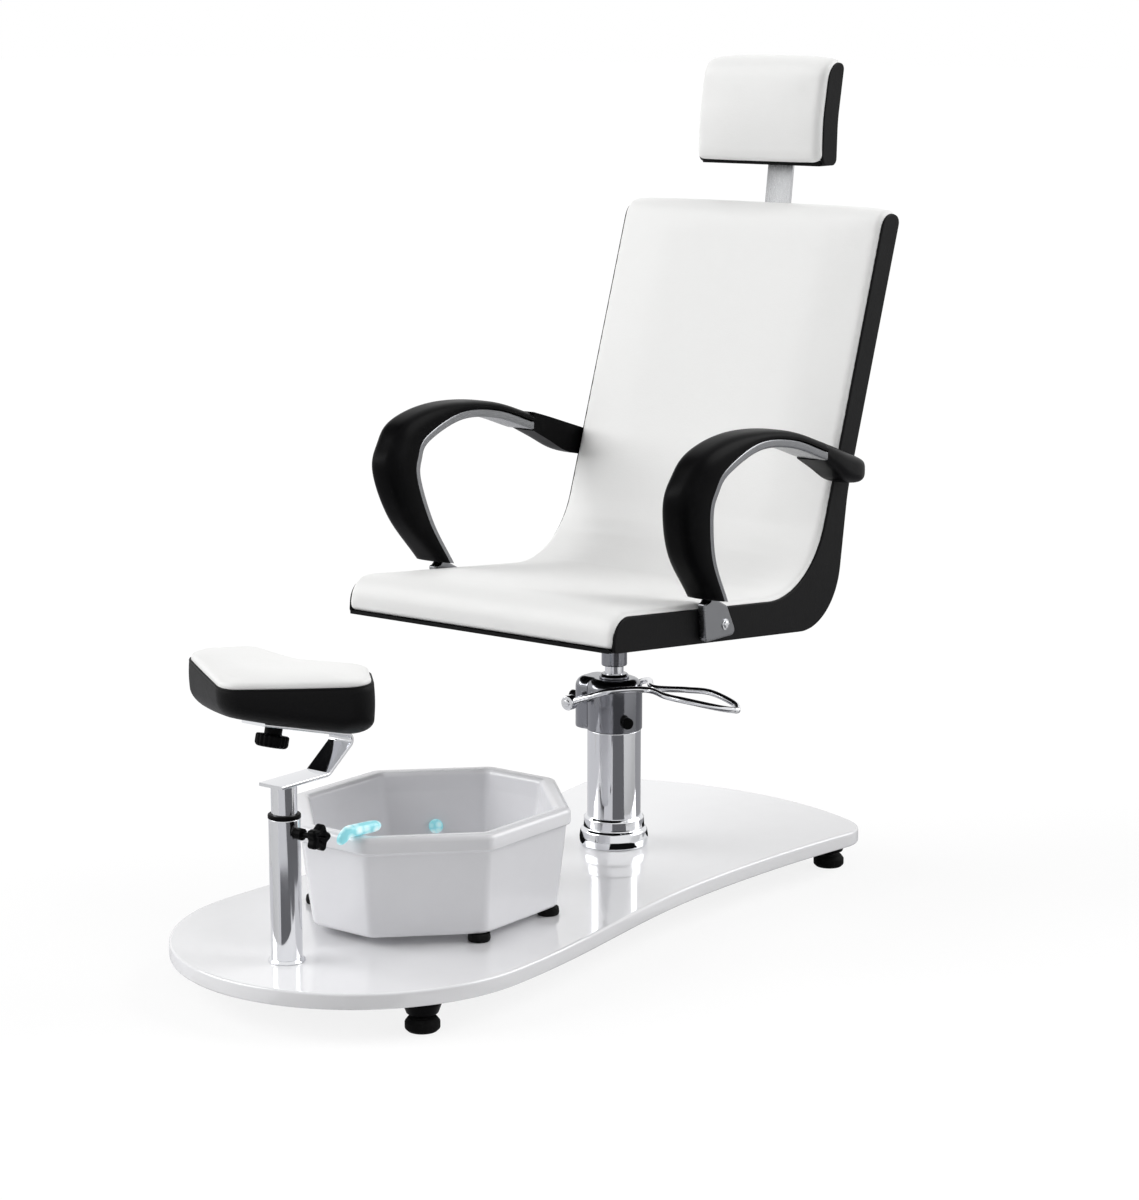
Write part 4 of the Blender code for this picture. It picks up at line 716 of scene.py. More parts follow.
def white_lacquer(colours):
    """Sprayed and polished white lacquer: a clear coat that mirrors at a low angle.

    It has faint orange peel of 5 mm and fine hairlines in the gloss from wiping.
    """
    material, tree, at = blank("sprayed_white_lacquer")
    peel = add(tree, "ShaderNodeTexNoise", {"Scale": per_mm(5.0), "Detail": 1.0},
               {"Vector": at.outputs["Object"]})
    wipe = add(tree, "ShaderNodeTexNoise",
               {"Scale": per_mm(90.0), "Detail": 7.0, "Roughness": 0.6, "Distortion": 1.5},
               {"Vector": at.outputs["Object"]})
    tone = add(tree, "ShaderNodeMix", {6: shade(colours.lacquer, 0.97), 7: tuple(colours.lacquer)},
               {0: wipe.outputs["Fac"]}, data_type="RGBA")
    gloss = add(tree, "ShaderNodeMapRange", {"To Min": 0.10, "To Max": 0.24}, {"Value": wipe.outputs["Fac"]})
    bump = add(tree, "ShaderNodeBump", {"Strength": 0.03, "Distance": 0.0003},
               {"Height": peel.outputs["Fac"]})
    shader = add(tree, "ShaderNodeBsdfPrincipled", {"IOR": 1.5, "Coat Weight": 0.8, "Coat Roughness": 0.02},
                 {"Base Color": tone.outputs[2], "Roughness": gloss.outputs["Result"],
                  "Normal": bump.outputs["Normal"]})
    add(tree, "ShaderNodeOutputMaterial", None, {"Surface": shader.outputs["BSDF"]})
    return material


def white_plastic(colours):
    """Glossy moulded ABS: a close gloss, slightly grey, with faint sink and flow marks of about 5 cm."""
    material, tree, at = blank("moulded_white_abs")
    flow = add(tree, "ShaderNodeTexNoise", {"Scale": per_mm(50.0), "Detail": 3.0, "Distortion": 1.0},
               {"Vector": at.outputs["Object"]})
    tone = add(tree, "ShaderNodeMix", {6: shade(colours.tub, 0.96), 7: tuple(colours.tub)},
               {0: flow.outputs["Fac"]}, data_type="RGBA")
    gloss = add(tree, "ShaderNodeMapRange", {"To Min": 0.12, "To Max": 0.24}, {"Value": flow.outputs["Fac"]})
    bump = add(tree, "ShaderNodeBump", {"Strength": 0.10, "Distance": 0.0010},
               {"Height": flow.outputs["Fac"]})
    shader = add(tree, "ShaderNodeBsdfPrincipled", {"IOR": 1.53},
                 {"Base Color": tone.outputs[2], "Roughness": gloss.outputs["Result"],
                  "Normal": bump.outputs["Normal"]})
    add(tree, "ShaderNodeOutputMaterial", None, {"Surface": shader.outputs["BSDF"]})
    return material


def cyan_lens(colours):
    """Clear lens lit from inside: pale cyan that whitens in cells of 14 mm, where lamps sit behind it."""
    material, tree, at = blank("lit_lens")
    cells = add(tree, "ShaderNodeTexVoronoi", {"Scale": per_mm(14.0)}, {"Vector": at.outputs["Object"]})
    heat = add(tree, "ShaderNodeMapRange", {"From Min": 0.1, "From Max": 0.6, "To Min": 1.0, "To Max": 0.0},
               {"Value": cells.outputs["Distance"]})
    tone = add(tree, "ShaderNodeMix", {6: tuple(colours.glow), 7: srgb("E4FAFC")},
               {0: heat.outputs["Result"]}, data_type="RGBA")
    shader = add(tree, "ShaderNodeBsdfPrincipled",
                 {"Roughness": 0.15, "IOR": 1.49, "Emission Strength": 0.38},
                 {"Base Color": tone.outputs[2], "Emission Color": tone.outputs[2]})
    add(tree, "ShaderNodeOutputMaterial", None, {"Surface": shader.outputs["BSDF"]})
    return material


RECIPES = {
    "white_vinyl": white_vinyl, "black_vinyl": black_vinyl, "black_plastic": black_plastic,
    "black_rubber": black_rubber, "chrome": chrome, "steel_grey": steel_grey,
    "painted_lit_steel": painted_lit_steel, "cast_metal": cast_metal,
    "white_lacquer": white_lacquer, "white_plastic": white_plastic, "cyan_lens": cyan_lens,
}


# Base

class DressBase(Operator):
    """Lacquered plate and its four levelling feet"""
    bl_idname = "pedicure.dress_base"
    bl_label = "Base plate and feet"

    # Waist, rear corners and tail of the plate, along Y from the column's axis
    WAIST_Y, CORNER_Y, TAIL_Y = -0.100, 0.322, 0.402
    NUT_RADIUS, NUT_HEIGHT = 0.0088, 0.0045

    def outline(self, p):
        """Right half from nose to tail, then its mirror.

        A half circle, a cosine run into the waist, a parabola that flares to the tail, a rounded corner and a
        shallow arc across the rear.
        """
        nose_y, waist_y = PLATE[0, 1] + p.nose_radius, COLUMN[1] + self.WAIST_Y
        corner_y, tail_y = COLUMN[1] + self.CORNER_Y, COLUMN[1] + self.TAIL_Y
        turn = np.linspace(-math.pi / 2, 0.0, 60)
        nose = np.stack([p.nose_radius * np.cos(turn), nose_y + p.nose_radius * np.sin(turn)], 1)
        t = np.linspace(0.0, 1.0, 60)[1:]
        fade = 0.5 + 0.5 * np.cos(math.pi * t)
        flank = np.stack(
            [p.waist_half + (p.nose_radius - p.waist_half) * fade, nose_y + (waist_y - nose_y) * t], 1)
        t = np.linspace(0.0, 1.0 - p.tail_round / (corner_y - waist_y), 40)[1:]
        flare = np.stack(
            [p.waist_half + (p.tail_half - p.waist_half) * t ** 2, waist_y + (corner_y - waist_y) * t], 1)
        sagitta = tail_y - corner_y
        tail_radius = (p.tail_half ** 2 + sagitta ** 2) / (2 * sagitta)
        x = np.linspace(p.tail_half - p.tail_round, 0.0, 40)
        tail = np.stack([x, tail_y - tail_radius + np.sqrt(tail_radius ** 2 - x ** 2)], 1)
        t = np.linspace(0.0, 1.0, 30)[1:-1, None]
        corner = np.array([p.tail_half, corner_y])
        turn_in = flare[-1] * (1 - t) ** 2 + corner * 2 * t * (1 - t) + tail[0] * t ** 2
        half = np.concatenate([nose, flank, flare, turn_in, tail])
        return even(np.concatenate([half, half[-2:0:-1] * (-1.0, 1.0)]), 420, closed=True)

    def execute(self, context):
        p = context.scene.chair_plate
        section = plate_section(PLATE[0, 2], PLATE[1, 2], p.edge)
        piece("lacquered_plate", [slab(self.outline(p), section)], "white_lacquer", ["base_plate"])
        for where in CORNERS:
            (x0, y0, low), (x1, y1, high) = span(f"foot_socket_{where}")
            centre = ((x0 + x1) / 2, (y0 + y1) / 2, 0.0)
            r = p.socket_radius
            socket = rounded_chain(
                [(0.0, high), (r, high), (r, high - 0.007), (r - 0.0055, low), (0.0055, low)],
                [0.0015, 0.002, 0.002], 4)
            hexagon = rounded_loop(circle(self.NUT_RADIUS, 6), [0.0008] * 6, 2) + centre[:2]
            nut = slab(hexagon, plate_section(low - GAP - self.NUT_HEIGHT, low - GAP, 0.0006, 2))
            piece(f"foot_socket_shell_{where}", [turned(socket, centre, steps=64)], "black_plastic",
                  [f"foot_socket_{where}"])
            piece(f"foot_lock_nut_{where}", [nut], "chrome", body="base")
            top = span(f"foot_glide_{where}")[1, 2]
            r = p.glide_radius
            glide = rounded_chain(
                [(0.0, top), (0.005, top), (0.005, 0.020), (r - 0.005, 0.020), (r, 0.0135), (r, 0.004),
                 (r - 0.004, 0.0), (0.0, 0.0)], [0.001, 0.001, 0.003, 0.004, 0.003, 0.002], 5)
            piece(f"foot_glide_turned_{where}", [turned(glide, centre, steps=64)], "black_rubber",
                  [f"foot_glide_{where}"])
        return {"FINISHED"}


# Column and lever

class DressColumn(Operator):
    """Chrome collar, tube and ram, the plated pump head and the gland on it"""
    bl_idname = "pedicure.dress_column"
    bl_label = "Hydraulic column"

    PLUG_AZIMUTH = math.radians(61.0)  # of the valve plug, from -Y towards +X
    RAM_SLACK = 0.0004  # between the ram and the gland

    def head_outline(self, c):
        """Round body joined to a lobe: an arc of the body, then the lobe's two rounded corners."""
        meet = math.pi - math.asin(c.lobe_half / c.head_radius)
        t = np.linspace(-meet, meet, 120)
        body = c.head_radius * np.stack([np.cos(t), np.sin(t)], 1)
        corners = [body[-1], (-c.lobe_reach, c.lobe_half), (-c.lobe_reach, -c.lobe_half), body[0]]
        lobe = rounded_chain(corners, [c.lobe_half * 0.7] * 2, 16)
        return even(np.concatenate([body, lobe[1:-1]]), 200, closed=True) + COLUMN[:2]

    def execute(self, context):
        c = context.scene.chair_column
        axis = (COLUMN[0], COLUMN[1], 0.0)
        low, high = span("column_collar")[:, 2]
        step, inner, r = low + 0.60 * (high - low), c.tube_radius + 0.0005, c.collar_radius
        collar = rounded_chain(
            [(inner, low), (r - 0.001, low), (r, low + 0.012), (r - 0.002, step - 0.004), (r - 0.007, step),
             (inner + 0.0055, step + 0.002), (inner + 0.005, high - 0.004), (inner + 0.002, high),
             (inner, high)],
            [0.001, 0.010, 0.006, 0.003, 0.0015, 0.003, 0.001], 6)
        piece("collar_turned", [turned(collar, axis, steps=128)], "chrome", ["column_collar"], crease=50)
        low, high = span("column_tube")[:, 2]
        tube = rounded_chain([(c.tube_radius - 0.003, low), (c.tube_radius, low), (c.tube_radius, high),
                              (c.tube_radius - 0.003, high)], [0.0005, 0.0012], 4)
        piece("column_tube_polished", [turned(tube, axis, steps=128)], "chrome", ["column_tube"])

        # The head's top edge is a quarter ellipse
        low, high = span("pump_head")[:, 2]
        t = np.linspace(0.0, math.pi / 2, 11)
        crown = np.stack([0.015 * (1 - np.cos(t)), high - 0.017 * (1 - np.sin(t))], 1)
        section = np.concatenate([
            [(0.003, low), (0.002, low), (0.0006, low + 0.0006), (0.0, low + 0.002)], crown,
            [(0.016, high), (0.020, high)]])
        piece("pump_head_cast", [slab(self.head_outline(c), section)], "cast_metal", ["pump_head"])
        screw = rounded_chain(
            [(0.0, 0.0), (0.0055, 0.0), (0.0055, 0.006), (0.0085, 0.006), (0.0085, 0.022), (0.0, 0.022)],
            [0.0, 0.0, 0.0015, 0.0025], 4)
        start = (COLUMN[0] - c.lobe_reach - GAP, COLUMN[1], low + 0.52 * (high - low))
        piece("pump_release_screw", [turned(screw, start, -X, 48)], "black_plastic", body="base", crease=50)
        out = unit(np.array([math.sin(self.PLUG_AZIMUTH), -math.cos(self.PLUG_AZIMUTH), 0.0]))
        plug = rounded_chain(
            [(0.0, -0.004), (0.0095, -0.004), (0.0095, 0.0095), (0.0, 0.0095)], [0.0, 0.002], 4)
        start = np.array([COLUMN[0], COLUMN[1], low + 0.018]) + out * c.head_radius
        piece("pump_valve_plug", [turned(plug, start, out, 48)], "black_plastic", body="base", crease=50)
        low, high = span("gland_bush")[:, 2]
        bore = c.ram_radius + self.RAM_SLACK
        gland = rounded_chain(
            [(bore, low), (0.024, low), (0.024, low + 0.003), (0.021, high), (bore, high)],
            [0.0005, 0.0012, 0.0015], 4)
        piece("gland_ring", [turned(gland, axis, steps=96)], "cast_metal", ["gland_bush"])
        low = span("seat_mount")[0, 2]
        sleeve = rounded_chain(
            [(c.ram_radius + 0.0006, low), (0.0205, low), (0.0205, low + 0.062), (0.016, low + 0.062)],
            [0.0015, 0.0], 4)
        piece("mount_hub_sleeve", [turned(sleeve, axis, steps=96)], "cast_metal", body="seat")
        low, high = span("lift_ram")[:, 2]
        ram = rounded_chain(
            [(0.0, low), (c.ram_radius, low), (c.ram_radius, high), (0.0, high)], [0.0015, 0.0015], 4)
        piece("lift_ram_ground", [turned(ram, axis, steps=96)], "chrome", ["lift_ram"])
        return {"FINISHED"}


class DressLever(Operator):
    """Bent rod loop of the foot lever, its hubs and the axle's caps"""
    bl_idname = "pedicure.dress_lever"
    bl_label = "Foot lever"

    def execute(self, context):
        c = context.scene.chair_column
        # The axle's place and half length, then the rod's neck, tip and half width
        axle_x, axle_z, half = -0.046, 0.308, 0.058
        neck, tip, loop = 0.072, 0.238, 0.036
        rise, drop = axle_z + 0.028, 0.012
        # One leg is a spline from the axle to the tip, and its mirror closes the loop
        leg = spline([
            (axle_x, -half, axle_z), (0.0, -half, axle_z + 0.0168), (0.45 * neck, -0.85 * half, rise),
            (neck, -0.009, rise), (0.70 * neck + 0.30 * tip, -0.80 * loop, rise),
            (0.45 * neck + 0.55 * tip, -loop, rise),
            (0.12 * neck + 0.88 * tip, -0.55 * loop, rise - 0.6 * drop), (tip, 0.0, rise - drop)], 14)
        path = np.concatenate([leg, leg[-2::-1] * (1.0, -1.0, 1.0)])
        path = even(path, 260) + (0.0, COLUMN[1], 0.0)
        grids = [sweep(path, circle(c.rod_radius, 20), Z)]
        for side in (-1, 1):
            hub = rounded_chain(
                [(0.0, -0.007), (c.hub_radius, -0.007), (c.hub_radius, 0.007), (0.0055, 0.007),
                 (0.0055, 0.0088), (0.0, 0.0094)], [0.0015, 0.002, 0.0, 0.0015], 5)
            grids.append(turned(hub, (axle_x, COLUMN[1] + side * half, axle_z), side * Y, 64))
        piece("lever_bent_rod", grids, "chrome", ["foot_lever"], crease=50)
        return {"FINISHED"}


# Seat

PANEL_THICK, PANEL_EDGE = 0.006, 0.0022  # of the side panels


def seat_corners(s):
    """Corner points of the seat's side view (Y, Z), with the runs of the seat and the back.

    They are the underside's front, heel, lumbar top and back top, then the padding's front, inner bend and
    top.
    """
    seat_run, back_run = direction(-s.tilt), direction(math.pi / 2 - s.back_lean)
    front = np.array([COLUMN[1] + s.front, s.height])
    heel = front + s.depth * seat_run
    lumbar = heel + s.lumbar_rise * direction(math.pi / 2 - s.lumbar_lean)
    top = lumbar + s.back_rise * back_run
    face_front = front + left_of(seat_run) * s.seat_pad
    face_top = top + left_of(back_run) * s.back_pad
    bend = crossing(face_front, seat_run, face_top, back_run)
    return front, heel, lumbar, top, face_front, bend, face_top, seat_run, back_run


def padded_form(loop, lift, half, edge, crown, stations=21, soft=1.0):
    """Cushion across X: a closed side view whose face is lifted by crown * sqrt(1 - |x / half|^3).

    Its rim is drawn in along its normals in a quarter round of radius edge, times soft, at both sides.
    """
    normals = loop_normals(loop)
    t = np.linspace(0.0, math.pi / 2, 6)
    inner = half - edge
    x = np.concatenate([-inner - edge * np.sin(t[::-1]), np.linspace(-inner, inner, stations)[1:-1],
                        inner + edge * np.sin(t)])
    inset = np.concatenate([edge * (1 - np.cos(t[::-1])), np.zeros(stations - 2), edge * (1 - np.cos(t))])
    swell = crown * np.sqrt(1 - np.abs(x / half) ** 3)
    move = swell[:, None] * lift - inset[:, None] * soft
    yz = loop[None] + move[..., None] * normals[None]
    return np.concatenate([np.broadcast_to(x[:, None, None], yz.shape[:2] + (1,)), yz], -1)


def cushion_loop(face, under, fade):
    """Closed side view from a cushion's face and underside, and each point's share of the crown.

    It runs anticlockwise. The share is nothing at the face's two ends and on the underside, and whole from a
    part, fade, of the face's length on.
    """
    count = len(face)
    from_end = np.minimum(np.arange(count), count - 1 - np.arange(count)) / count
    loop = np.concatenate([face, under[::-1]])
    lift = np.concatenate([smooth_step(from_end, 0.0, fade), np.zeros(len(under))])
    if anticlockwise(loop) is not loop:
        loop, lift = loop[::-1], lift[::-1]
    return loop, lift


def side_panels(outline, width, name, node):
    """Two side panels: a closed outline (Y, Z) carried out in X to half the width, with rounded edges."""
    flat = slab(outline, plate_section(width / 2 - PANEL_THICK, width / 2, PANEL_EDGE, 5))
    for side, sign in SIDES:
        grid = np.stack([sign * flat[..., 2], flat[..., 0], flat[..., 1]], -1)
        piece(f"{name}_{side}", [grid], "black_vinyl", [f"{node}_{side}"])


def near_line(points, line):
    """Distance of points (Y, Z) from a line of points."""
    gaps = np.full(len(points), np.inf)
    for start in range(0, len(points), 4000):
        block = points[start:start + 4000, None] - line[None]
        gaps[start:start + 4000] = np.sqrt((block ** 2).sum(2).min(1))
    return gaps


def smooth_step(value, low, high):
    """Cubic 3 t^2 - 2 t^3, from 0 at low and under it to 1 at high and over it."""
    t = np.clip((value - low) / (high - low), 0.0, 1.0)
    return t * t * (3 - 2 * t)


class DressSeat(Operator):
    """Inflated seat cushion, its shell and its two side panels"""
    bl_idname = "pedicure.dress_seat"
    bl_label = "Seat"

    HEEL_ROUND, LUMBAR_ROUND = 0.105, 0.300
    # Rounding of the padding's front roll, inner bend, top front and top rear
    FACE_ROUND = (0.036, 0.150, 0.032, 0.014)
    # Rounding of a panel's front, heel, lumbar, top rear, top front, inner bend and front roll
    PANEL_ROUND = (0.006, HEEL_ROUND, LUMBAR_ROUND, 0.013, 0.030, 0.152, 0.034)
    SHELL_SHORT = 0.022  # how far the shell ends below the back's top
    BLOWN = 0.004  # part of the crown that inflation adds
    SIDE_INSET = 0.0020  # how far the cushion's sides stay inside the panels' faces

    def execute(self, context):
        s = context.scene.chair_seat
        front, heel, lumbar, top, face_front, bend, face_top, seat_run, back_run = seat_corners(s)
        shell_end = top - self.SHELL_SHORT * back_run
        outer = rounded_chain([front, heel, lumbar, shell_end], [self.HEEL_ROUND, self.LUMBAR_ROUND], 24)
        outer = even(outer, 110)
        # The shell thickens in a smooth step behind its front edge
        base = 0.0053 + 0.0050 * smooth_step(lengths(outer), 0.0, 0.070)
        under = shifted(outer, base)
        face = rounded_chain([under[0], face_front, bend, face_top, top, shell_end], self.FACE_ROUND, 20)
        loop, lift = cushion_loop(even(face, 220), under, 0.06)
        half = s.width / 2 - self.SIDE_INSET
        form = padded_form(loop, lift, half, s.edge, s.crown - self.BLOWN, 53)
        cushion = piece("seat_cushion_stuffed", [form], "white_vinyl", ["seat_cushion"])
        inflate(cushion, s.voxel, s.swell, lambda at: smooth_step(near_line(at[:, 1:], under), 0.012, 0.034)
                * smooth_step(half - np.abs(at[:, 0]), 0.001, 0.030))

        loop = anticlockwise(np.concatenate([outer, shifted(outer, base - GAP)[::-1]]))
        form = padded_form(loop, np.zeros(len(loop)), s.width / 2 - PANEL_THICK - GAP, 0.002, 0.0, 7)
        piece("seat_shell_covered", [form], "black_vinyl", ["seat_shell"])

        face_front = face_front - left_of(seat_run) * s.tuck
        face_top = face_top - left_of(back_run) * s.tuck - back_run * s.tuck
        bend = crossing(face_front, seat_run, face_top, back_run)
        panel = rounded_loop(
            [front + seat_run * s.tuck, heel, lumbar, top - back_run * s.tuck, face_top, bend,
             face_front + seat_run * s.tuck], self.PANEL_ROUND, 20)
        side_panels(anticlockwise(even(panel, 420, closed=True)), s.width, "seat_side_padded", "seat_side")
        return {"FINISHED"}


class DressArms(Operator):
    """Steel hoops, moulded arm pads, rear brackets and foot bolts"""
    bl_idname = "pedicure.dress_arms"
    bl_label = "Arms"

    # Inner edge of the hoop from foot to rear end: Y, Z, degrees of the outward side, pad thickness, lean
    STATIONS = ((-0.110, 0.520, 168.0, 0.022, 0.022), (-0.152, 0.590, 169.0, 0.047, 0.016),
                (-0.172, 0.660, 166.0, 0.056, 0.007), (-0.166, 0.692, 151.0, 0.051, 0.003),
                (-0.143, 0.719, 134.0, 0.040, 0.000), (-0.060, 0.745, 100.0, 0.015, 0.000),
                (0.030, 0.738, 80.0, 0.012, 0.000), (0.125, 0.709, 90.0, 0.014, 0.000))
    # Foot plate on the seat's side from its lower front corner round: Y, Z, rounding
    FOOT = ((-0.132, 0.458, 0.008), (-0.050, 0.458, 0.008), (-0.076, 0.506, 0.004), (-0.112, 0.524, 0.003),
            (-0.119, 0.531, 0.002), (-0.1225, 0.5205, 0.002), (-0.138, 0.517, 0.003))
    # Rear bracket along Y: Y, lower Z, upper Z, depth in X, set-out from the seat's side
    BRACKET = ((0.000, 0.707, 0.7385, 0.057, 0.0035), (0.040, 0.687, 0.727, 0.054, 0.0025),
               (0.085, 0.664, 0.713, 0.050, 0.001), (0.130, 0.654, 0.699, 0.044, 0.000),
               (0.152, 0.657, 0.691, 0.034, 0.000), (0.164, 0.666, 0.682, 0.018, 0.000))
    FOOT_THICK = 0.013
    BOLT_Y, BOLT_Z = -0.082, 0.478  # along Y from the column's axis, and height

    def execute(self, context):
        a, s = context.scene.chair_arms, context.scene.chair_seat
        rows = spline(self.STATIONS, 14)
        turn = np.radians(rows[:, 2])
        out = np.stack([np.cos(turn), np.sin(turn)], 1)
        inner = rows[:, :2] + (COLUMN[1], 0.0)
        # Pad's section: |cos t|^0.55 across and sin(t)^0.8 outwards, a half oval with full shoulders
        t = np.linspace(0.0, math.pi, 33)
        dome = np.stack(
            [np.sign(np.cos(t)) * np.abs(np.cos(t)) ** 0.55 * a.pad_width / 2, np.sin(t) ** 0.8], 1)
        section = box_section(a.hoop_width, a.hoop_thick, 0.0035, 5) + (0.0, a.hoop_thick / 2)
        foot = np.array(self.FOOT)
        outline = anticlockwise(rounded_loop(list(foot[:, :2] + (COLUMN[1], 0.0)), foot[:, 2], 6))
        flat = slab(outline, plate_section(GAP, GAP + self.FOOT_THICK, 0.0025, 4))
        for side, sign in SIDES:
            x = sign * (s.width / 2 + a.out - rows[:, 4, None])
            yz = inner[:, None] + out[:, None] * section[None, :, 1:]
            hoop = np.concatenate([(x + section[:, 0])[..., None], yz], -1)
            plate = np.stack([sign * (s.width / 2 + flat[..., 2]), flat[..., 0], flat[..., 1]], -1)
            piece(f"arm_hoop_brushed_{side}", [hoop, plate], "steel_grey", [f"arm_hoop_{side}"], crease=45)

            seat = inner + out * (a.hoop_thick + GAP)
            yz = seat[:, None] + out[:, None] * (rows[:, 3, None] * dome[:, 1])[..., None]
            pad = np.concatenate([(x + dome[:, 0])[..., None], yz], -1)
            piece(f"arm_pad_moulded_{side}", [rounded_ends(pad, 0.002)], "black_plastic",
                  [f"arm_pad_{side}"], crease=60)

            # Bracket's section: |cos v|^0.5 out from the seat's side and |sin v|^0.6 up and down
            part = spline(self.BRACKET, 10)
            v = np.linspace(-math.pi / 2, math.pi / 2, 33)
            reach = s.width / 2 + GAP + part[:, 4:] + part[:, 3:4] * np.abs(np.cos(v)) ** 0.5
            height = part[:, 1:3].mean(1)[:, None] + (part[:, 2] - part[:, 1])[:, None] / 2 * (
                np.sign(np.sin(v)) * np.abs(np.sin(v)) ** 0.6)
            y = COLUMN[1] + self.STATIONS[-1][0] + GAP + part[:, :1] + np.zeros_like(reach)
            bracket = np.stack([sign * reach, y, height], -1)
            piece(f"arm_bracket_moulded_{side}", [bracket], "black_plastic",
                  [f"arm_bracket_{side}"], crease=60)

            bolt = rounded_chain(
                [(0.0, 0.0), (0.0085, 0.0), (0.0085, 0.0012), (0.006, 0.0014), (0.0055, 0.0040),
                 (0.0, 0.0052)], [0.0, 0.0004, 0.0, 0.0018], 4)
            start = (sign * (s.width / 2 + self.FOOT_THICK + 2 * GAP), COLUMN[1] + self.BOLT_Y, self.BOLT_Z)
            piece(f"arm_bolt_domed_{side}", [turned(bolt, start, sign * X, 48)], "chrome",
                  [f"arm_bolt_{side}"])
        return {"FINISHED"}


# Headrest

class DressHeadrest(Operator):
    """Inflated headrest cushion, its shell and side panels, and the flat bar"""
    bl_idname = "pedicure.dress_headrest"
    bl_label = "Headrest"

    # Angles above +Y of its lower and upper rear and of its bar, and the lengths of the first two
    LOWER, UPPER, BAR = math.radians(88.0), math.radians(79.0), math.radians(82.0)
    LOWER_RISE, UPPER_RISE = 0.073, 0.095
    WAIST_ROUND = 0.250
    SHELL_SHORT, SHELL_THICK = 0.020, 0.008
    BLOWN = 0.003  # part of the crown that inflation adds
    SIDE_INSET = 0.0015  # how far the cushion's sides stay inside the panels' faces
    BAR_WIDTH, BAR_THICK = 0.050, 0.006
    # Where the bar passes the back's top, behind it, and how far it runs below and above that place
    BAR_BEHIND, BAR_BELOW, BAR_ABOVE = 0.026, 0.150, 0.175

    def execute(self, context):
        h, s = context.scene.chair_headrest, context.scene.chair_seat
        back_top = seat_corners(s)[3]
        low_run, up_run = direction(self.LOWER), direction(self.UPPER)
        front = back_top + np.array([-h.ahead, h.above])
        heel = front + np.array([h.depth, 0.0])
        waist = heel + self.LOWER_RISE * low_run
        top = waist + self.UPPER_RISE * up_run
        face_top, face_waist = top + left_of(up_run) * h.depth, waist + left_of(low_run) * h.depth
        shell_end = top - up_run * self.SHELL_SHORT
        rear = rounded_chain(
            [front + np.array([0.012, 0.0]), heel, waist, shell_end], [0.010, self.WAIST_ROUND], 16)
        rear = even(rear, 90)
        under = shifted(rear, self.SHELL_THICK + GAP)
        face = rounded_chain(
            [under[0], front + np.array([0.0, 0.003]), face_waist, face_top, top, shell_end],
            [0.006, self.WAIST_ROUND, 0.036, 0.012], 16)
        loop, lift = cushion_loop(even(face, 140), under, 0.12)
        half = h.width / 2 - self.SIDE_INSET
        # The rounding of the sides fades to a half near the top
        soft = 1 - 0.5 * smooth_step(loop[:, 1], top[1] - 0.030, top[1] - 0.008)
        form = padded_form(loop, lift, half, h.edge, h.crown - self.BLOWN, 31, soft)
        cushion = piece("headrest_cushion_stuffed", [form], "white_vinyl", ["headrest_cushion"])
        inflate(cushion, h.voxel, h.swell, lambda at: smooth_step(near_line(at[:, 1:], under), 0.008, 0.026)
                * smooth_step(half - np.abs(at[:, 0]), 0.001, 0.020))

        loop = anticlockwise(np.concatenate([rear, shifted(rear, self.SHELL_THICK)[::-1]]))
        form = padded_form(loop, np.zeros(len(loop)), h.width / 2 - PANEL_THICK - GAP, 0.002, 0.0, 5)
        piece("headrest_shell_covered", [form], "black_vinyl", ["headrest_shell"])
        back, cap = np.array([h.tuck, 0.0]), up_run * 0.003
        panel = rounded_loop(
            [front + back + (0.0, 0.002), heel, waist, top - cap, face_top + 1.1 * back - cap,
             face_waist + back], [0.014, 0.012, self.WAIST_ROUND, 0.010, 0.032, self.WAIST_ROUND], 14)
        side_panels(anticlockwise(even(panel, 220, closed=True)), h.width, "headrest_side_padded",
                    "headrest_side")

        run = direction(self.BAR)
        point = back_top + np.array([self.BAR_BEHIND, 0.0])
        line = np.linspace(point - self.BAR_BELOW * run, point + self.BAR_ABOVE * run, 12)
        bar = sweep(in_yz(line, 0.0), box_section(self.BAR_WIDTH, self.BAR_THICK, 0.0015, 4), X)
        bar = piece("headrest_bar_brushed", [bar], "steel_grey", ["headrest_bar"])
        # The bar takes the lighter copy of the steel: painted light
        bar.data.materials[0] = finish("painted_lit_steel")
        return {"FINISHED"}


# Footrest

PAD_TILT = math.radians(15.0)  # rise of the strip's last leg and of the pad's underside towards the front


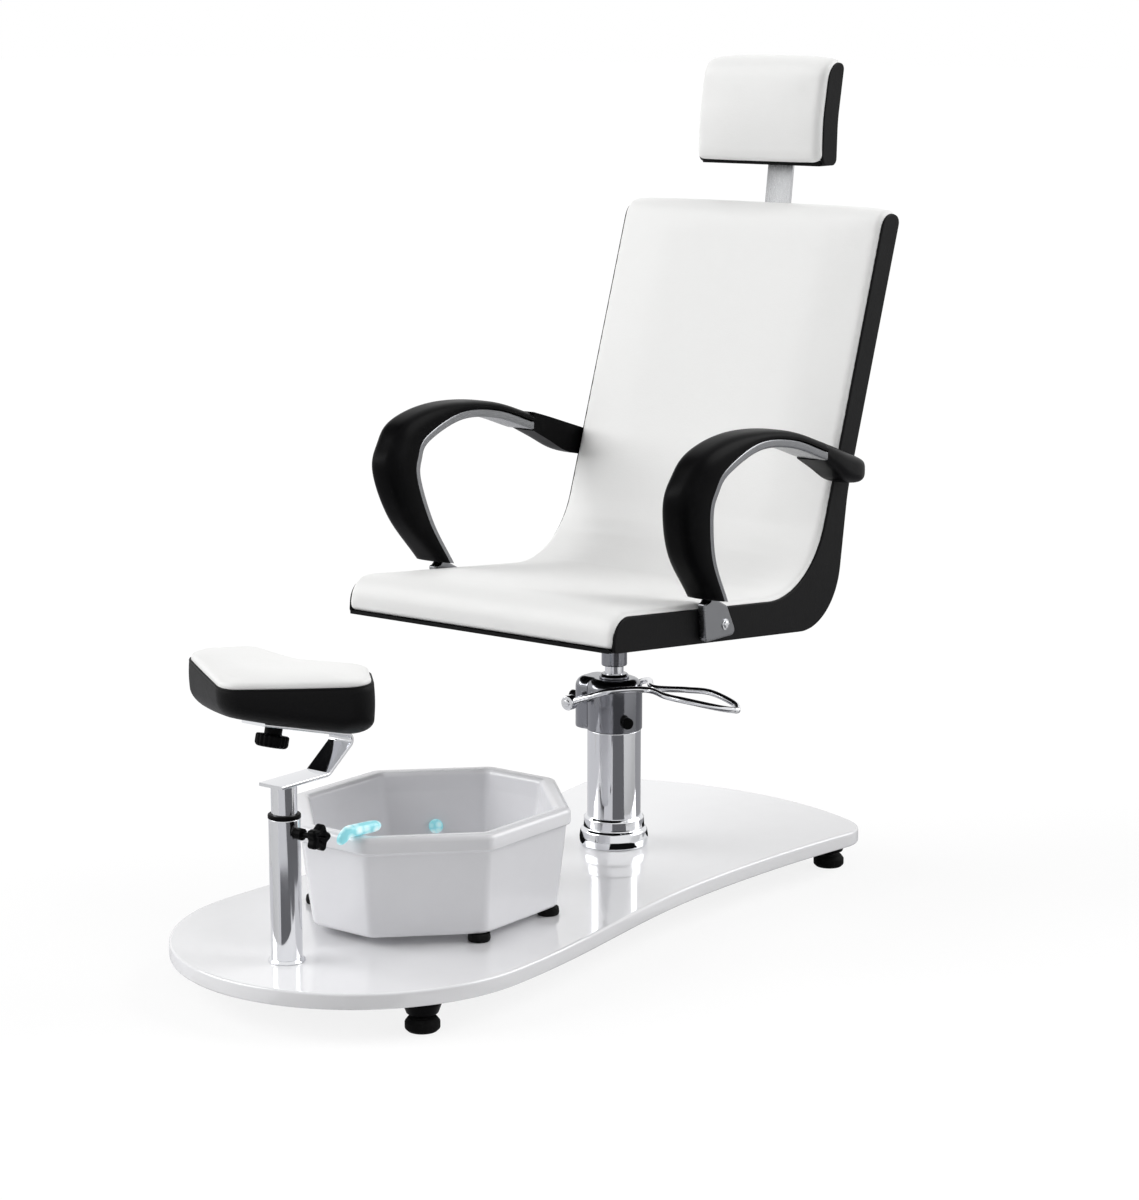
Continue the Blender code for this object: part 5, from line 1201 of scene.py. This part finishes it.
class DressPost(Operator):
    """Chrome post and slider, the clamp with its star knob, and the bent strip"""
    bl_idname = "pedicure.dress_post"
    bl_label = "Footrest post"

    SCREW_START, STAR_START = 0.0188, 0.056  # of the clamp, along X from the post's axis
    STAR_THICK = 0.015
    # Strip: its reach before and behind the post, its step from knee to elbow and the length of its last leg
    STRIP_AHEAD, STRIP_BEHIND, STRIP_STEP, STRIP_LEG = 0.027, 0.072, (0.062, 0.045), 0.200

    def execute(self, context):
        f = context.scene.chair_footrest
        axis = (POST[0], POST[1], 0.0)
        for node, name, r, wall, edge in (
                ("post_tube", "post_tube_polished", f.post_radius, 0.0025, 0.0010),
                ("post_slider", "post_slider_polished", f.slider_radius, 0.002, 0.0006)):
            low, high = span(node)[:, 2]
            tube = rounded_chain([(r - wall, low), (r, low), (r, high), (r - wall, high)], [0.0004, edge], 4)
            piece(name, [turned(tube, axis, steps=96)], "chrome", [node])
        low, high = span("post_base_ring")[:, 2]
        bore = f.post_radius + GAP
        ring = rounded_chain(
            [(bore, low), (0.0265, low), (0.0265, low + 0.002), (0.0238, high), (bore, high)],
            [0.0004, 0.0012, 0.0006], 4)
        piece("post_ring_polished", [turned(ring, axis, steps=96)], "chrome", ["post_base_ring"])
        low, high = span("post_bush")[:, 2]
        bore, rim = f.slider_radius + GAP, f.post_radius + 0.001
        bush = rounded_chain([(bore, low), (rim, low), (rim, high), (bore, high)], [0.0005, 0.002], 4)
        piece("post_bush_turned", [turned(bush, axis, steps=96)], "black_plastic", ["post_bush"])

        z = span("clamp_knob")[:, 2].mean()
        # Star: radius * (1 + 0.16 cos(lobes * t)) round its axis, carried along X with rounded edges
        start, reach, thick = self.SCREW_START, self.STAR_START, self.STAR_THICK
        t = np.linspace(0.0, 2 * math.pi, 120, endpoint=False)
        lobes = f.star_radius * (1 + 0.16 * np.cos(f.star_lobes * t))
        outline = np.stack([lobes * np.cos(t), lobes * np.sin(t)], 1)
        section = np.concatenate([
            [(0.008, 0.001), (0.0065, 0.0)], plate_section(0.0, thick, 0.0038, 6)[1:-1],
            [(0.006, thick - 0.0006), (0.008, thick - 0.0010)]])
        flat = slab(outline, section)
        knob = np.stack([reach + flat[..., 2], POST[1] + flat[..., 0], z + flat[..., 1]], -1)
        end = reach - start + 0.002
        screw = rounded_chain([(0.0, 0.0), (0.004, 0.0), (0.004, end), (0.0, end)], [0.0006, 0.0], 3)
        screw = turned(screw, (start, POST[1], z), X, 32)
        collar = rounded_chain([(0.0, 0.0), (0.0085, 0.0), (0.0095, 0.006), (0.0, 0.006)], [0.001, 0.001], 3)
        collar = turned(collar, (reach - 0.0055, POST[1], z), X, 48)
        piece("star_knob_moulded", [knob, screw, collar], "black_plastic", ["clamp_knob"], crease=50)

        seat_z = span("post_slider")[1, 2] + GAP + f.strip_thick / 2
        nose = np.array([POST[1] - self.STRIP_AHEAD, seat_z])
        knee = np.array([POST[1] + self.STRIP_BEHIND, seat_z])
        elbow = knee + self.STRIP_STEP
        end = elbow + direction(math.pi - PAD_TILT) * self.STRIP_LEG
        line = rounded_chain([nose, knee, elbow, end], [0.009, 0.009], 12)
        strip = sweep(in_yz(line, 0.0), box_section(f.strip_width, f.strip_thick, 0.0014, 4), X)
        piece("strip_bent", [strip], "chrome", ["footrest_bracket"], crease=50)
        return {"FINISHED"}


class DressFootPad(Operator):
    """Inflated foot pad on its black hull, the piping between them and the knob under it"""
    bl_idname = "pedicure.dress_foot_pad"
    bl_label = "Foot pad"

    # Plan from the column's axis: Y of the apex and the notch, right tip, right rear corner and middle
    APEX, NOTCH, TIP, REAR, MIDDLE = -0.902, -0.744, (0.181, -0.788), (0.113, -0.720), (0.0, -0.803)
    CORNER_ROUND = (0.040, 0.030, 0.030, 0.090, 0.030, 0.030)
    SEAM_Z = 0.484  # at the apex
    KEEL_Y, KEEL_Z = -0.79528, 0.41966  # a place on the hull's underside
    STUD_Y, STUD_Z = -0.796, 0.41696
    BILGE = 0.024  # height of the hull's rounded lower edge
    BLOWN = 0.003  # part of the crown that inflation adds

    def execute(self, context):
        f, h = context.scene.chair_footrest, context.scene.chair_headrest
        right = [(0.0, self.APEX), self.TIP, self.REAR, (0.0, self.NOTCH)]
        left = [(-px, py) for px, py in right[2:0:-1]]
        outline = even(rounded_loop(right + left, self.CORNER_ROUND, 16), 200, closed=True)
        middle = np.array(self.MIDDLE)
        slope = math.tan(PAD_TILT)

        def seam(at):
            """Height of the seam: a parabola across to the tips and a straight rise from apex to notch."""
            wings = 0.003 * (at[..., 0] / self.TIP[0]) ** 2
            rear = 0.008 * (at[..., 1] - self.APEX) / (self.NOTCH - self.APEX)
            return self.SEAM_Z + wings + rear

        def keel(at):
            """Height of the underside: a plane at the pad's tilt and parabolas beside the strip."""
            half = f.strip_width / 2
            beside = np.maximum(0.0, np.abs(at[..., 0]) - half) / (self.TIP[0] - half)
            return self.KEEL_Z - (at[..., 1] - self.KEEL_Y) * slope + 0.010 * beside ** 2

        def ring(scale, height):
            """The outline scaled about its middle, each point at the height that is worked out for it."""
            at = middle + (outline - middle) * scale
            return np.concatenate([at + (0.0, COLUMN[1]), height(at)[:, None]], 1)

        # Hull: a quarter round up from the keel, a wall that bulges as a half sine, and a sunk top
        rings = [ring(0.10, keel), ring(0.66, keel)]
        for t in np.linspace(0.0, math.pi / 2, 10):
            rings.append(ring(0.70 + 0.30 * math.sin(t),
                              lambda at: keel(at) + self.BILGE * (1 - math.cos(t))))
        for k in np.linspace(0.15, 1.0, 6):
            rings.append(ring(1.0 + 0.008 * math.sin(math.pi * k),
                              lambda at: keel(at) + self.BILGE
                              + (seam(at) - 0.001 - keel(at) - self.BILGE) * k))
        rings += [ring(0.994, seam), ring(0.974, seam), ring(0.972, lambda at: seam(at) - 0.012)]
        rings += [ring(0.10, lambda at: seam(at) - 0.014)]
        piece("foot_pad_hull", [np.stack(rings)], "black_vinyl", ["footrest_base"], crease=55)
        rim = ring(0.984, lambda at: seam(at) + GAP)
        piping = sweep(np.concatenate([rim, rim[:2]]), circle(0.0020, 12), Z)
        piece("foot_pad_piping", [piping], "black_vinyl", body="footrest_pad")

        # Cushion: outlines draw in by t^2.4 as they rise by sqrt(1 - (1 - t)^2.6) of the crown
        rings = [ring(0.10, lambda at: seam(at) - 0.0115), ring(0.966, lambda at: seam(at) - 0.0115)]
        for t in np.linspace(0.0, 1.0, 16):
            inside = max(0.974 * (1 - t ** 2.4), 0.02)
            rise = (1 - (1 - t) ** 2.6) ** 0.5
            rings.append(ring(inside, lambda at: seam(at) + (f.pad_crown - self.BLOWN) * rise))
        cushion = piece("foot_pad_cushion_stuffed", [np.stack(rings)], "white_vinyl", ["footrest_cushion"])
        inflate(cushion, h.voxel, h.swell,
                lambda at: smooth_step(at[:, 2] - seam(at[:, :2] - (0.0, COLUMN[1])), -0.002, 0.008))

        axis = np.array([0.0, math.sin(PAD_TILT), math.cos(PAD_TILT)])
        stud = np.array([0.0, self.STUD_Y + COLUMN[1], self.STUD_Z])
        under = -0.0028
        stem, low, r = under - 0.010, under - 0.028, 0.023
        knob = rounded_chain(
            [(0.0, 0.020), (0.004, 0.020), (0.004, under), (0.0125, under), (0.0125, stem), (r, stem),
             (r, low), (0.0, low)], [0.0008, 0.0, 0.001, 0.0015, 0.003, 0.006], 5)
        # Twenty ridges: a radius past the stem's is multiplied by 1 + 0.035 cos(20 t)
        t = np.linspace(0.0, 2 * math.pi, 120, endpoint=False)
        body = turned(knob, stud, axis, 120)
        ridge = (1 + 0.035 * np.cos(20 * t))[None, :, None]
        middle_line = body.mean(1, keepdims=True)
        arm = body - middle_line
        body = middle_line + arm * np.where(np.linalg.norm(arm, axis=2, keepdims=True) > 0.0135, ridge, 1.0)
        piece("pad_knob_ridged", [body], "black_plastic", ["footrest_knob"], crease=50)
        return {"FINISHED"}


# Foot bath

class DressBath(Operator):
    """Moulded tub with its rolled rim, its rubber feet and its two lit lenses"""
    bl_idname = "pedicure.dress_bath"
    bl_label = "Foot bath"

    LIP, TAPER = 0.006, 0.014  # insets of the wall under the rim and, from there, at the foot
    FLOOR = 0.012  # thickness
    LIT_AZIMUTH, LIT_HALF, LIT_DROOP = math.radians(78.0), 0.038, 0.013  # of the lit bar on the rim

    def execute(self, context):
        b = context.scene.chair_bath
        low, high = span("bath_tub")[:, 2]
        corners = []
        for sx, sy in ((1, -1), (1, 1), (-1, 1), (-1, -1)):
            pair = [(sx * (b.half_width - b.cut), sy * b.half_length),
                    (sx * b.half_width, sy * (b.half_length - b.cut))]
            corners += pair if sx * sy < 0 else pair[::-1]

        def ring(inset, z):
            """The octagon with all eight sides moved in by an inset, its corners rounded, at a height."""
            half = np.array([b.half_width, b.half_length])
            plan = np.array(corners)
            leg = b.cut - inset * (2 - math.sqrt(2))
            flat = np.sign(plan) * np.where(np.isclose(np.abs(plan), half), half - inset, half - inset - leg)
            loop = rounded_loop(list(flat), [b.corner] * 8, 10)
            return np.concatenate([loop + BATH[:2], np.full((len(loop), 1), z)], 1)

        under_rim, floor = high - b.rim_height, low + self.FLOOR
        outer = rounded_chain(
            [(0.10, low), (self.LIP + self.TAPER, low), (self.LIP, under_rim - 0.0005), (0.0, under_rim),
             (0.0, high), (b.rim_width, high), (b.rim_width + 0.003, high - 0.030),
             (b.rim_width + 0.022, low + 0.024), (0.10, floor), (0.125, floor)],
            [0.009, 0.004, 0.003, 0.008, 0.009, 0.050, 0.016, 0.0], 8)
        rows = np.stack([ring(inset, z) for inset, z in outer])
        piece("bath_tub_moulded", [rows], "white_plastic", ["bath_tub"], crease=60)
        for where in CORNERS:
            (x0, y0, z0), (x1, y1, z1) = span(f"bath_foot_{where}")
            r = (x1 - x0) / 2
            foot = rounded_chain(
                [(0.0, z0), (r - 0.001, z0), (r, z0 + 0.004), (r - 0.001, z1), (0.0, z1)],
                [0.001, 0.002, 0.0008], 4)
            axis = ((x0 + x1) / 2, (y0 + y1) / 2, 0.0)
            piece(f"bath_foot_moulded_{where}", [turned(foot, axis, steps=48)], "black_rubber",
                  [f"bath_foot_{where}"])
        centre = span("bath_lamp").mean(0)
        into = unit(np.array([math.sqrt(0.5), -math.sqrt(0.5), 0.12]))
        lens = rounded_chain(
            [(0.0, -0.003), (0.011, -0.003), (0.011, 0.0005), (0.006, 0.0028), (0.0, 0.0034)],
            [0.0004, 0.0015, 0.004], 5)
        piece("bath_lamp_lens", [turned(lens, centre, into, 64)], "cyan_lens", ["bath_lamp"])

        centre = span("bath_light_bar").mean(0)
        # Lit bar: a rounded section, times sqrt(1 - t^6), along a line that droops at one end
        along = direction(self.LIT_AZIMUTH)
        t = np.linspace(-1.0, 1.0, 41)
        droop = -self.LIT_DROOP * smooth_step(-t, 0.45, 1.0)
        path = np.concatenate(
            [centre[:2] + t[:, None] * self.LIT_HALF * along, (centre[2] + droop)[:, None]], 1)
        fat = np.sqrt(np.clip(1 - np.abs(t) ** 6, 0.05, 1.0))
        tube = sweep(path, box_section(0.018, 0.0172, 0.0084, 6), np.array([along[1], -along[0], 0.0]))
        tube = path[:, None] + (tube - path[:, None]) * fat[:, None, None]
        piece("bath_light_bar_lens", [tube], "cyan_lens", ["bath_light_bar"], crease=60)
        return {"FINISHED"}


class DressWorks(Operator):
    """Finishes of the carried-over inner pieces: barrel, piston, axle, mount, guide, block and boss"""
    bl_idname = "pedicure.dress_works"
    bl_label = "Inner works"

    def execute(self, context):
        for slot, nodes in (
                ("steel_grey", ("pump_barrel", "lift_piston")), ("chrome", ("lever_axle",)),
                ("black_plastic", ("seat_mount", "headrest_guide", "headrest_block", "clamp_boss"))):
            for node in nodes:
                frame["nodes"][node].data.materials.clear()
                frame["nodes"][node].data.materials.append(finish(slot))
        return {"FINISHED"}


# Stage

def painted_reflection_sheet(name, points, faces, material):
    """Sheet of painted reflection, which only metal and gloss show, and only from its front."""
    mesh = bpy.data.meshes.new(name)
    mesh.from_pydata(points.tolist(), [], faces.tolist())
    mesh.materials.append(material)
    obj = bpy.data.objects.new(name, mesh)
    bpy.context.scene.collection.objects.link(obj)
    obj.visible_camera = obj.visible_diffuse = obj.visible_shadow = obj.visible_transmission = False


def painted_reflection_sector(name, centre, start, end, near, far, height, material):
    """Flat sheet of painted reflection on the floor or the plate: a sector of a ring round a place, with its
    azimuths in degrees from -Y to +X.

    Its points are centre + r (sin a, -cos a) over even steps of a, at r = near and r = far.
    """
    a = np.radians(np.linspace(start, end, 25))
    round_it = np.stack([np.sin(a), -np.cos(a), np.zeros_like(a)], 1)
    points = np.array([centre[0], centre[1], height]) + np.concatenate([near * round_it, far * round_it])
    steps = np.arange(24)
    painted_reflection_sheet(name, points, np.stack([steps, steps + 25, steps + 26, steps + 1], 1), material)


class SetStage(Operator):
    """Pale floor, even sky, two soft lamps, camera, and the sheets of painted reflection that only metal and
    gloss show
    """
    bl_idname = "pedicure.set_stage"
    bl_label = "Stage"

    FLOOR_HALF, FLOOR_TINT = 60, "D6D6D6"
    FLOOR_GLOW, FLOOR_SHARE = 1.12, 0.75  # the glow that the camera sees, and its share of the floor's look
    LAMP_RISE, LAMP_ANGLE = math.radians(34.0), math.radians(46.0)
    KEY_AZIMUTH, SIDE_AZIMUTH = math.radians(-54.0), math.radians(137.0)  # from -Y to +X
    # Tones of the painted reflections
    REFLECTION_TONES = (("black", "101011"), ("dark", "6A6A6D"), ("mid", "A2A2A5"), ("light", "D8D8DB"))
    # Painted reflections, sheets round the column and the post: tone, and azimuths of both ends in degrees
    # from -Y to +X
    COLUMN_REFLECTIONS = (("dark", 31.0, 78.0), ("light", -3.0, 31.0), ("light", -143.0, -52.0),
                   ("mid", 138.0, 217.0))
    COLLAR_REFLECTIONS = ((-107.0, -37.0), (28.0, 84.0), (154.0, 217.0))
    POST_REFLECTIONS = (("dark", 5.0, 76.0), ("light", -140.0, -62.0))
    # The dark sheet of painted reflection that the strip shows: its direction, distance and half side
    FLAG_TOWARD, FLAG_AWAY, FLAG_HALF = (-0.594, 0.0625, 0.80), 2.0, 0.85
    # The camera, from the column's axis, with its azimuth and its dip
    EYE, EYE_AZIMUTH, EYE_DIP = (2.819, -3.824, 1.397), math.radians(37.26), math.radians(11.03)

    def execute(self, context):
        g, scene = context.scene.chair_stage, context.scene
        scene.view_settings.view_transform = "Standard"

        material, tree, _ = blank("pale_floor")
        seen = add(tree, "ShaderNodeLightPath")
        paint = add(tree, "ShaderNodeBsdfDiffuse", {"Color": srgb(self.FLOOR_TINT)})
        glow = add(tree, "ShaderNodeEmission", {"Color": (1, 1, 1, 1), "Strength": self.FLOOR_GLOW})
        share = add(tree, "ShaderNodeMath", {1: self.FLOOR_SHARE}, {0: seen.outputs["Is Camera Ray"]},
                    operation="MULTIPLY")
        both = add(tree, "ShaderNodeMixShader", None,
                   {0: share.outputs[0], 1: paint.outputs[0], 2: glow.outputs[0]})
        add(tree, "ShaderNodeOutputMaterial", None, {"Surface": both.outputs[0]})
        mesh = bpy.data.meshes.new("floor")
        half = self.FLOOR_HALF
        mesh.from_pydata(
            [(-half, -half, 0), (half, -half, 0), (half, half, 0), (-half, half, 0)], [], [(0, 1, 2, 3)])
        mesh.materials.append(material)
        floor = bpy.data.objects.new("floor", mesh)
        scene.collection.objects.link(floor)

        world = bpy.data.worlds.new("studio")
        scene.world = world
        world.use_nodes = True
        tree = world.node_tree
        tree.nodes.clear()
        seen = add(tree, "ShaderNodeLightPath")
        direct = add(tree, "ShaderNodeMath", None,
                     {0: seen.outputs["Is Camera Ray"], 1: seen.outputs["Is Glossy Ray"]},
                     operation="MAXIMUM")
        direct = add(tree, "ShaderNodeMath", None,
                     {0: direct.outputs[0], 1: seen.outputs["Is Transmission Ray"]}, operation="MAXIMUM")
        level = add(tree, "ShaderNodeMapRange", {"To Min": g.sky, "To Max": 1.0},
                    {"Value": direct.outputs[0]})
        sky = add(tree, "ShaderNodeBackground", {"Color": (1, 1, 1, 1)},
                  {"Strength": level.outputs["Result"]})
        add(tree, "ShaderNodeOutputWorld", None, {"Surface": sky.outputs[0]})

        e = self.LAMP_RISE
        for name, energy, a in (("key", g.key, self.KEY_AZIMUTH), ("side", g.side, self.SIDE_AZIMUTH)):
            lamp = bpy.data.lights.new(name, "SUN")
            lamp.energy = energy
            lamp.angle = self.LAMP_ANGLE
            holder = bpy.data.objects.new(name, lamp)
            shine = Vector((-math.sin(a) * math.cos(e), math.cos(a) * math.cos(e), -math.sin(e)))
            holder.rotation_euler = shine.to_track_quat("-Z", "Y").to_euler()
            scene.collection.objects.link(holder)

        reflection_tones = {}
        for tone, code in self.REFLECTION_TONES:
            reflection_tones[tone], tree, _ = blank(f"{tone}_mat")
            # Each sheet glows in its tone from the front and is clear from behind: painted reflection
            cloth = add(tree, "ShaderNodeEmission", {"Color": srgb(code)})
            clear = add(tree, "ShaderNodeBsdfTransparent")
            face = add(tree, "ShaderNodeNewGeometry")
            both = add(tree, "ShaderNodeMixShader", None,
                       {0: face.outputs["Backfacing"], 1: cloth.outputs[0], 2: clear.outputs[0]})
            add(tree, "ShaderNodeOutputMaterial", None, {"Surface": both.outputs[0]})
        on_plate = PLATE[1, 2] + 0.0012
        # Bands of painted reflection round the column on the floor and the plate, round the collar and round
        # the post
        for tone, start, end in self.COLUMN_REFLECTIONS:
            painted_reflection_sector(f"column_mat_{tone}_{int(start)}", COLUMN, start, end, 0.30, 2.4, 0.0010, reflection_tones[tone])
            painted_reflection_sector(f"plate_mat_{tone}_{int(start)}", COLUMN, start, end, 0.17, 0.75, on_plate, reflection_tones[tone])
        for start, end in self.COLLAR_REFLECTIONS:
            painted_reflection_sector(f"collar_mat_{int(start)}", COLUMN, start, end, 0.0575, 0.17, on_plate, reflection_tones["black"])
        for tone, start, end in self.POST_REFLECTIONS:
            painted_reflection_sector(f"post_mat_{tone}_{int(start)}", POST, start, end, 0.16, 0.75, 0.0014, reflection_tones[tone])
        # A dark sheet up to the left, seen only in the strip's sloping leg: painted reflection
        toward = unit(np.array(self.FLAG_TOWARD))
        across = unit(np.cross(toward, Z))
        up = np.cross(across, toward)
        middle = np.array([0.0, POST[1] + 0.10, 0.35]) + self.FLAG_AWAY * toward
        corners = middle + self.FLAG_HALF * np.array([-across - up, across - up, across + up, up - across])
        painted_reflection_sheet("strip_painted_reflection", corners, np.array([[0, 1, 2, 3]]), reflection_tones["black"])

        camera = bpy.data.cameras.new("camera")
        camera.lens = g.lens
        camera.sensor_width = 36.0
        holder = bpy.data.objects.new("camera", camera)
        holder.location = (self.EYE[0], COLUMN[1] + self.EYE[1], self.EYE[2])
        az, el = self.EYE_AZIMUTH, self.EYE_DIP
        back = Vector((math.sin(az) * math.cos(el), -math.cos(az) * math.cos(el), math.sin(el)))
        holder.rotation_euler = (-back).to_track_quat("-Z", "Y").to_euler()
        scene.collection.objects.link(holder)
        scene.camera = holder
        return {"FINISHED"}


OPERATORS = (SetStage, DressBase, DressColumn, DressLever, DressSeat, DressArms, DressHeadrest, DressPost,
             DressFootPad, DressBath, DressWorks)


class ChairPanel(Panel):
    """Sidebar panel with the chair's steps and settings"""
    bl_idname = "VIEW3D_PT_pedicure_chair"
    bl_label = "Pedicure chair"
    bl_space_type = "VIEW_3D"
    bl_region_type = "UI"
    bl_category = "Chair"

    def draw(self, context):
        for operator in OPERATORS:
            self.layout.operator(operator.bl_idname)
        for name, group in SETTINGS.items():
            box = self.layout.box()
            for setting in group.__annotations__:
                box.prop(getattr(context.scene, name), setting)


def register():
    for kind in (*SETTINGS.values(), *OPERATORS, ChairPanel):
        bpy.utils.register_class(kind)
    for name, kind in SETTINGS.items():
        setattr(bpy.types.Scene, name, PointerProperty(type=kind))


def unregister():
    for name in SETTINGS:
        delattr(bpy.types.Scene, name)
    for kind in reversed((*SETTINGS.values(), *OPERATORS, ChairPanel)):
        bpy.utils.unregister_class(kind)


def main():
    register()
    for operator in OPERATORS:
        group, name = operator.bl_idname.split(".")
        getattr(getattr(bpy.ops, group), name)()


if __name__ == "__main__":
    main()
